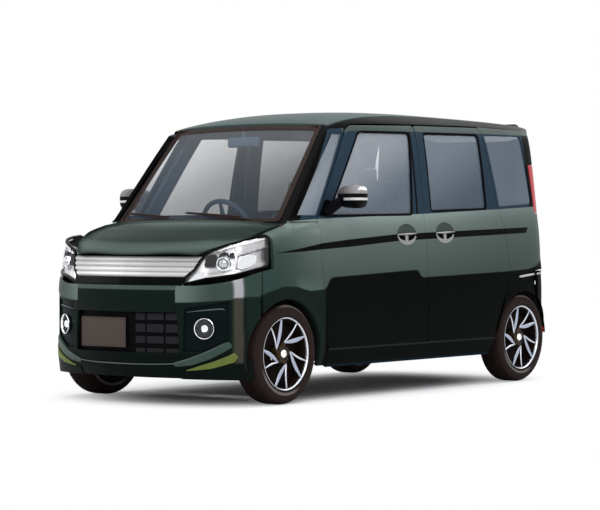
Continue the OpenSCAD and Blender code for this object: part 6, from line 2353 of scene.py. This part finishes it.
@dataclass
class Studio:
    """Pale floor, soft lamps, white background and the camera."""

    eye: tuple[float, float, float] = (8.144, -10.4925, 0.951)
    aim: tuple[float, float, float] = (-0.004, -0.0755, 0.813)
    lens: float = 130.1
    lamps: tuple[tuple[tuple[float, float, float], float, float], ...] = (
        ((6.0, -6.5, 6.0), 5.0, 420.0), ((-7.0, -5.0, 5.0), 5.0, 200.0), ((2.0, 7.0, 6.0), 6.0, 260.0),
        ((0.0, 0.0, 7.5), 6.0, 300.0))

    def build(self) -> None:
        """Sets the stage."""
        self.camera()
        self.floor()
        self.lights()
        self.world()
        bpy.context.scene.view_settings.view_transform = "Standard"

    def camera(self) -> None:
        """The photograph's viewpoint."""
        data = bpy.data.cameras.new("viewpoint")
        data.sensor_width, data.lens = 36.0, self.lens
        data.clip_end = 200.0
        obj = bpy.data.objects.new("viewpoint", data)
        obj.location = self.eye
        obj.rotation_euler = (Vector(self.aim) - Vector(self.eye)).to_track_quat("-Z", "Y").to_euler()
        bpy.context.scene.collection.objects.link(obj)
        bpy.context.scene.camera = obj

    @staticmethod
    def floor() -> None:
        """A wide pale floor."""
        bm = bmesh.new()
        bmesh.ops.create_grid(bm, x_segments=4, y_segments=4, size=60)
        mesh = bpy.data.meshes.new("floor")
        bm.to_mesh(mesh)
        bm.free()
        obj = bpy.data.objects.new("floor", mesh)
        bpy.context.scene.collection.objects.link(obj)
        graph = Graph("pale_floor")
        graph.feed("Base Color", graph.mix(graph.noise(3.0), (0.93, 0.93, 0.93), (0.96, 0.96, 0.96)))
        graph.feed("Roughness", 0.9)
        graph.feed("Specular IOR Level", 0.0)
        away = (graph.x * graph.x * 0.35 + graph.y * graph.y * 0.12)
        seen = graph.value("ShaderNodeLightPath", output="Is Camera Ray")
        white = graph.node("ShaderNodeEmission", {}, {"Color": (1, 1, 1, 1), "Strength": 1.0})
        share = away.step(0.12, 0.62) * seen
        mixed = graph.node("ShaderNodeMixShader", {}, [share, graph.shader.outputs[0], white.outputs[0]])
        graph.tree.links.new(mixed.outputs[0], graph.tree.nodes["Material Output"].inputs["Surface"])
        mesh.materials.append(graph.material)

    def lights(self) -> None:
        """Large soft lamps that look at the car."""
        for i, (spot, size, power) in enumerate(self.lamps):
            data = bpy.data.lights.new(f"soft_lamp_{i}", "AREA")
            data.size, data.energy = size, power
            obj = bpy.data.objects.new(data.name, data)
            obj.location = spot
            obj.rotation_euler = (Vector((0, 0, 0.8)) - Vector(spot)).to_track_quat("-Z", "Y").to_euler()
            bpy.context.scene.collection.objects.link(obj)

    @staticmethod
    def world() -> None:
        """White to the camera, glossy and transmitted rays, softer as a light."""
        world = bpy.context.scene.world or bpy.data.worlds.new("studio")
        bpy.context.scene.world = world
        world.use_nodes = True
        tree = world.node_tree
        tree.nodes.clear()
        path = tree.nodes.new("ShaderNodeLightPath")
        seen = tree.nodes.new("ShaderNodeMath")
        seen.operation = "MAXIMUM"
        tree.links.new(path.outputs["Is Camera Ray"], seen.inputs[0])
        both = tree.nodes.new("ShaderNodeMath")
        both.operation = "MAXIMUM"
        tree.links.new(path.outputs["Is Glossy Ray"], both.inputs[0])
        tree.links.new(path.outputs["Is Transmission Ray"], both.inputs[1])
        tree.links.new(both.outputs[0], seen.inputs[1])
        mix = tree.nodes.new("ShaderNodeMixShader")
        soft, white = tree.nodes.new("ShaderNodeBackground"), tree.nodes.new("ShaderNodeBackground")
        soft.inputs["Color"].default_value = (0.95, 0.97, 1.0, 1)
        soft.inputs["Strength"].default_value = 0.62
        white.inputs["Color"].default_value = (1, 1, 1, 1)
        white.inputs["Strength"].default_value = 1.0
        out = tree.nodes.new("ShaderNodeOutputWorld")
        tree.links.new(seen.outputs[0], mix.inputs[0])
        tree.links.new(soft.outputs[0], mix.inputs[1])
        tree.links.new(white.outputs[0], mix.inputs[2])
        tree.links.new(mix.outputs[0], out.inputs["Surface"])


def main() -> None:
    """Builds the car's sub-assemblies in order, then the studio."""
    logging.basicConfig(level=logging.INFO, format="%(message)s")
    shell = BodyShell()
    parts = [Studio(), shell, NoseTrim(), *[HeadLamp(side) for side in Side], Screen(), Bonnet(), Tailgate(),
             Rear(shell)]
    for side in Side:
        parts += [SideDoor(side, False), SideDoor(side, True), DoorMirror(side)]
        parts += [Wheel(f"front_{side.word}", side, AXLE_FRONT), Wheel(f"rear_{side.word}", side, AXLE_REAR)]
    for part in [*parts, Cabin(), Chassis()]:
        part.build()
        LOG.info("built %s", type(part).__name__)


if __name__ == "__main__":
    main()
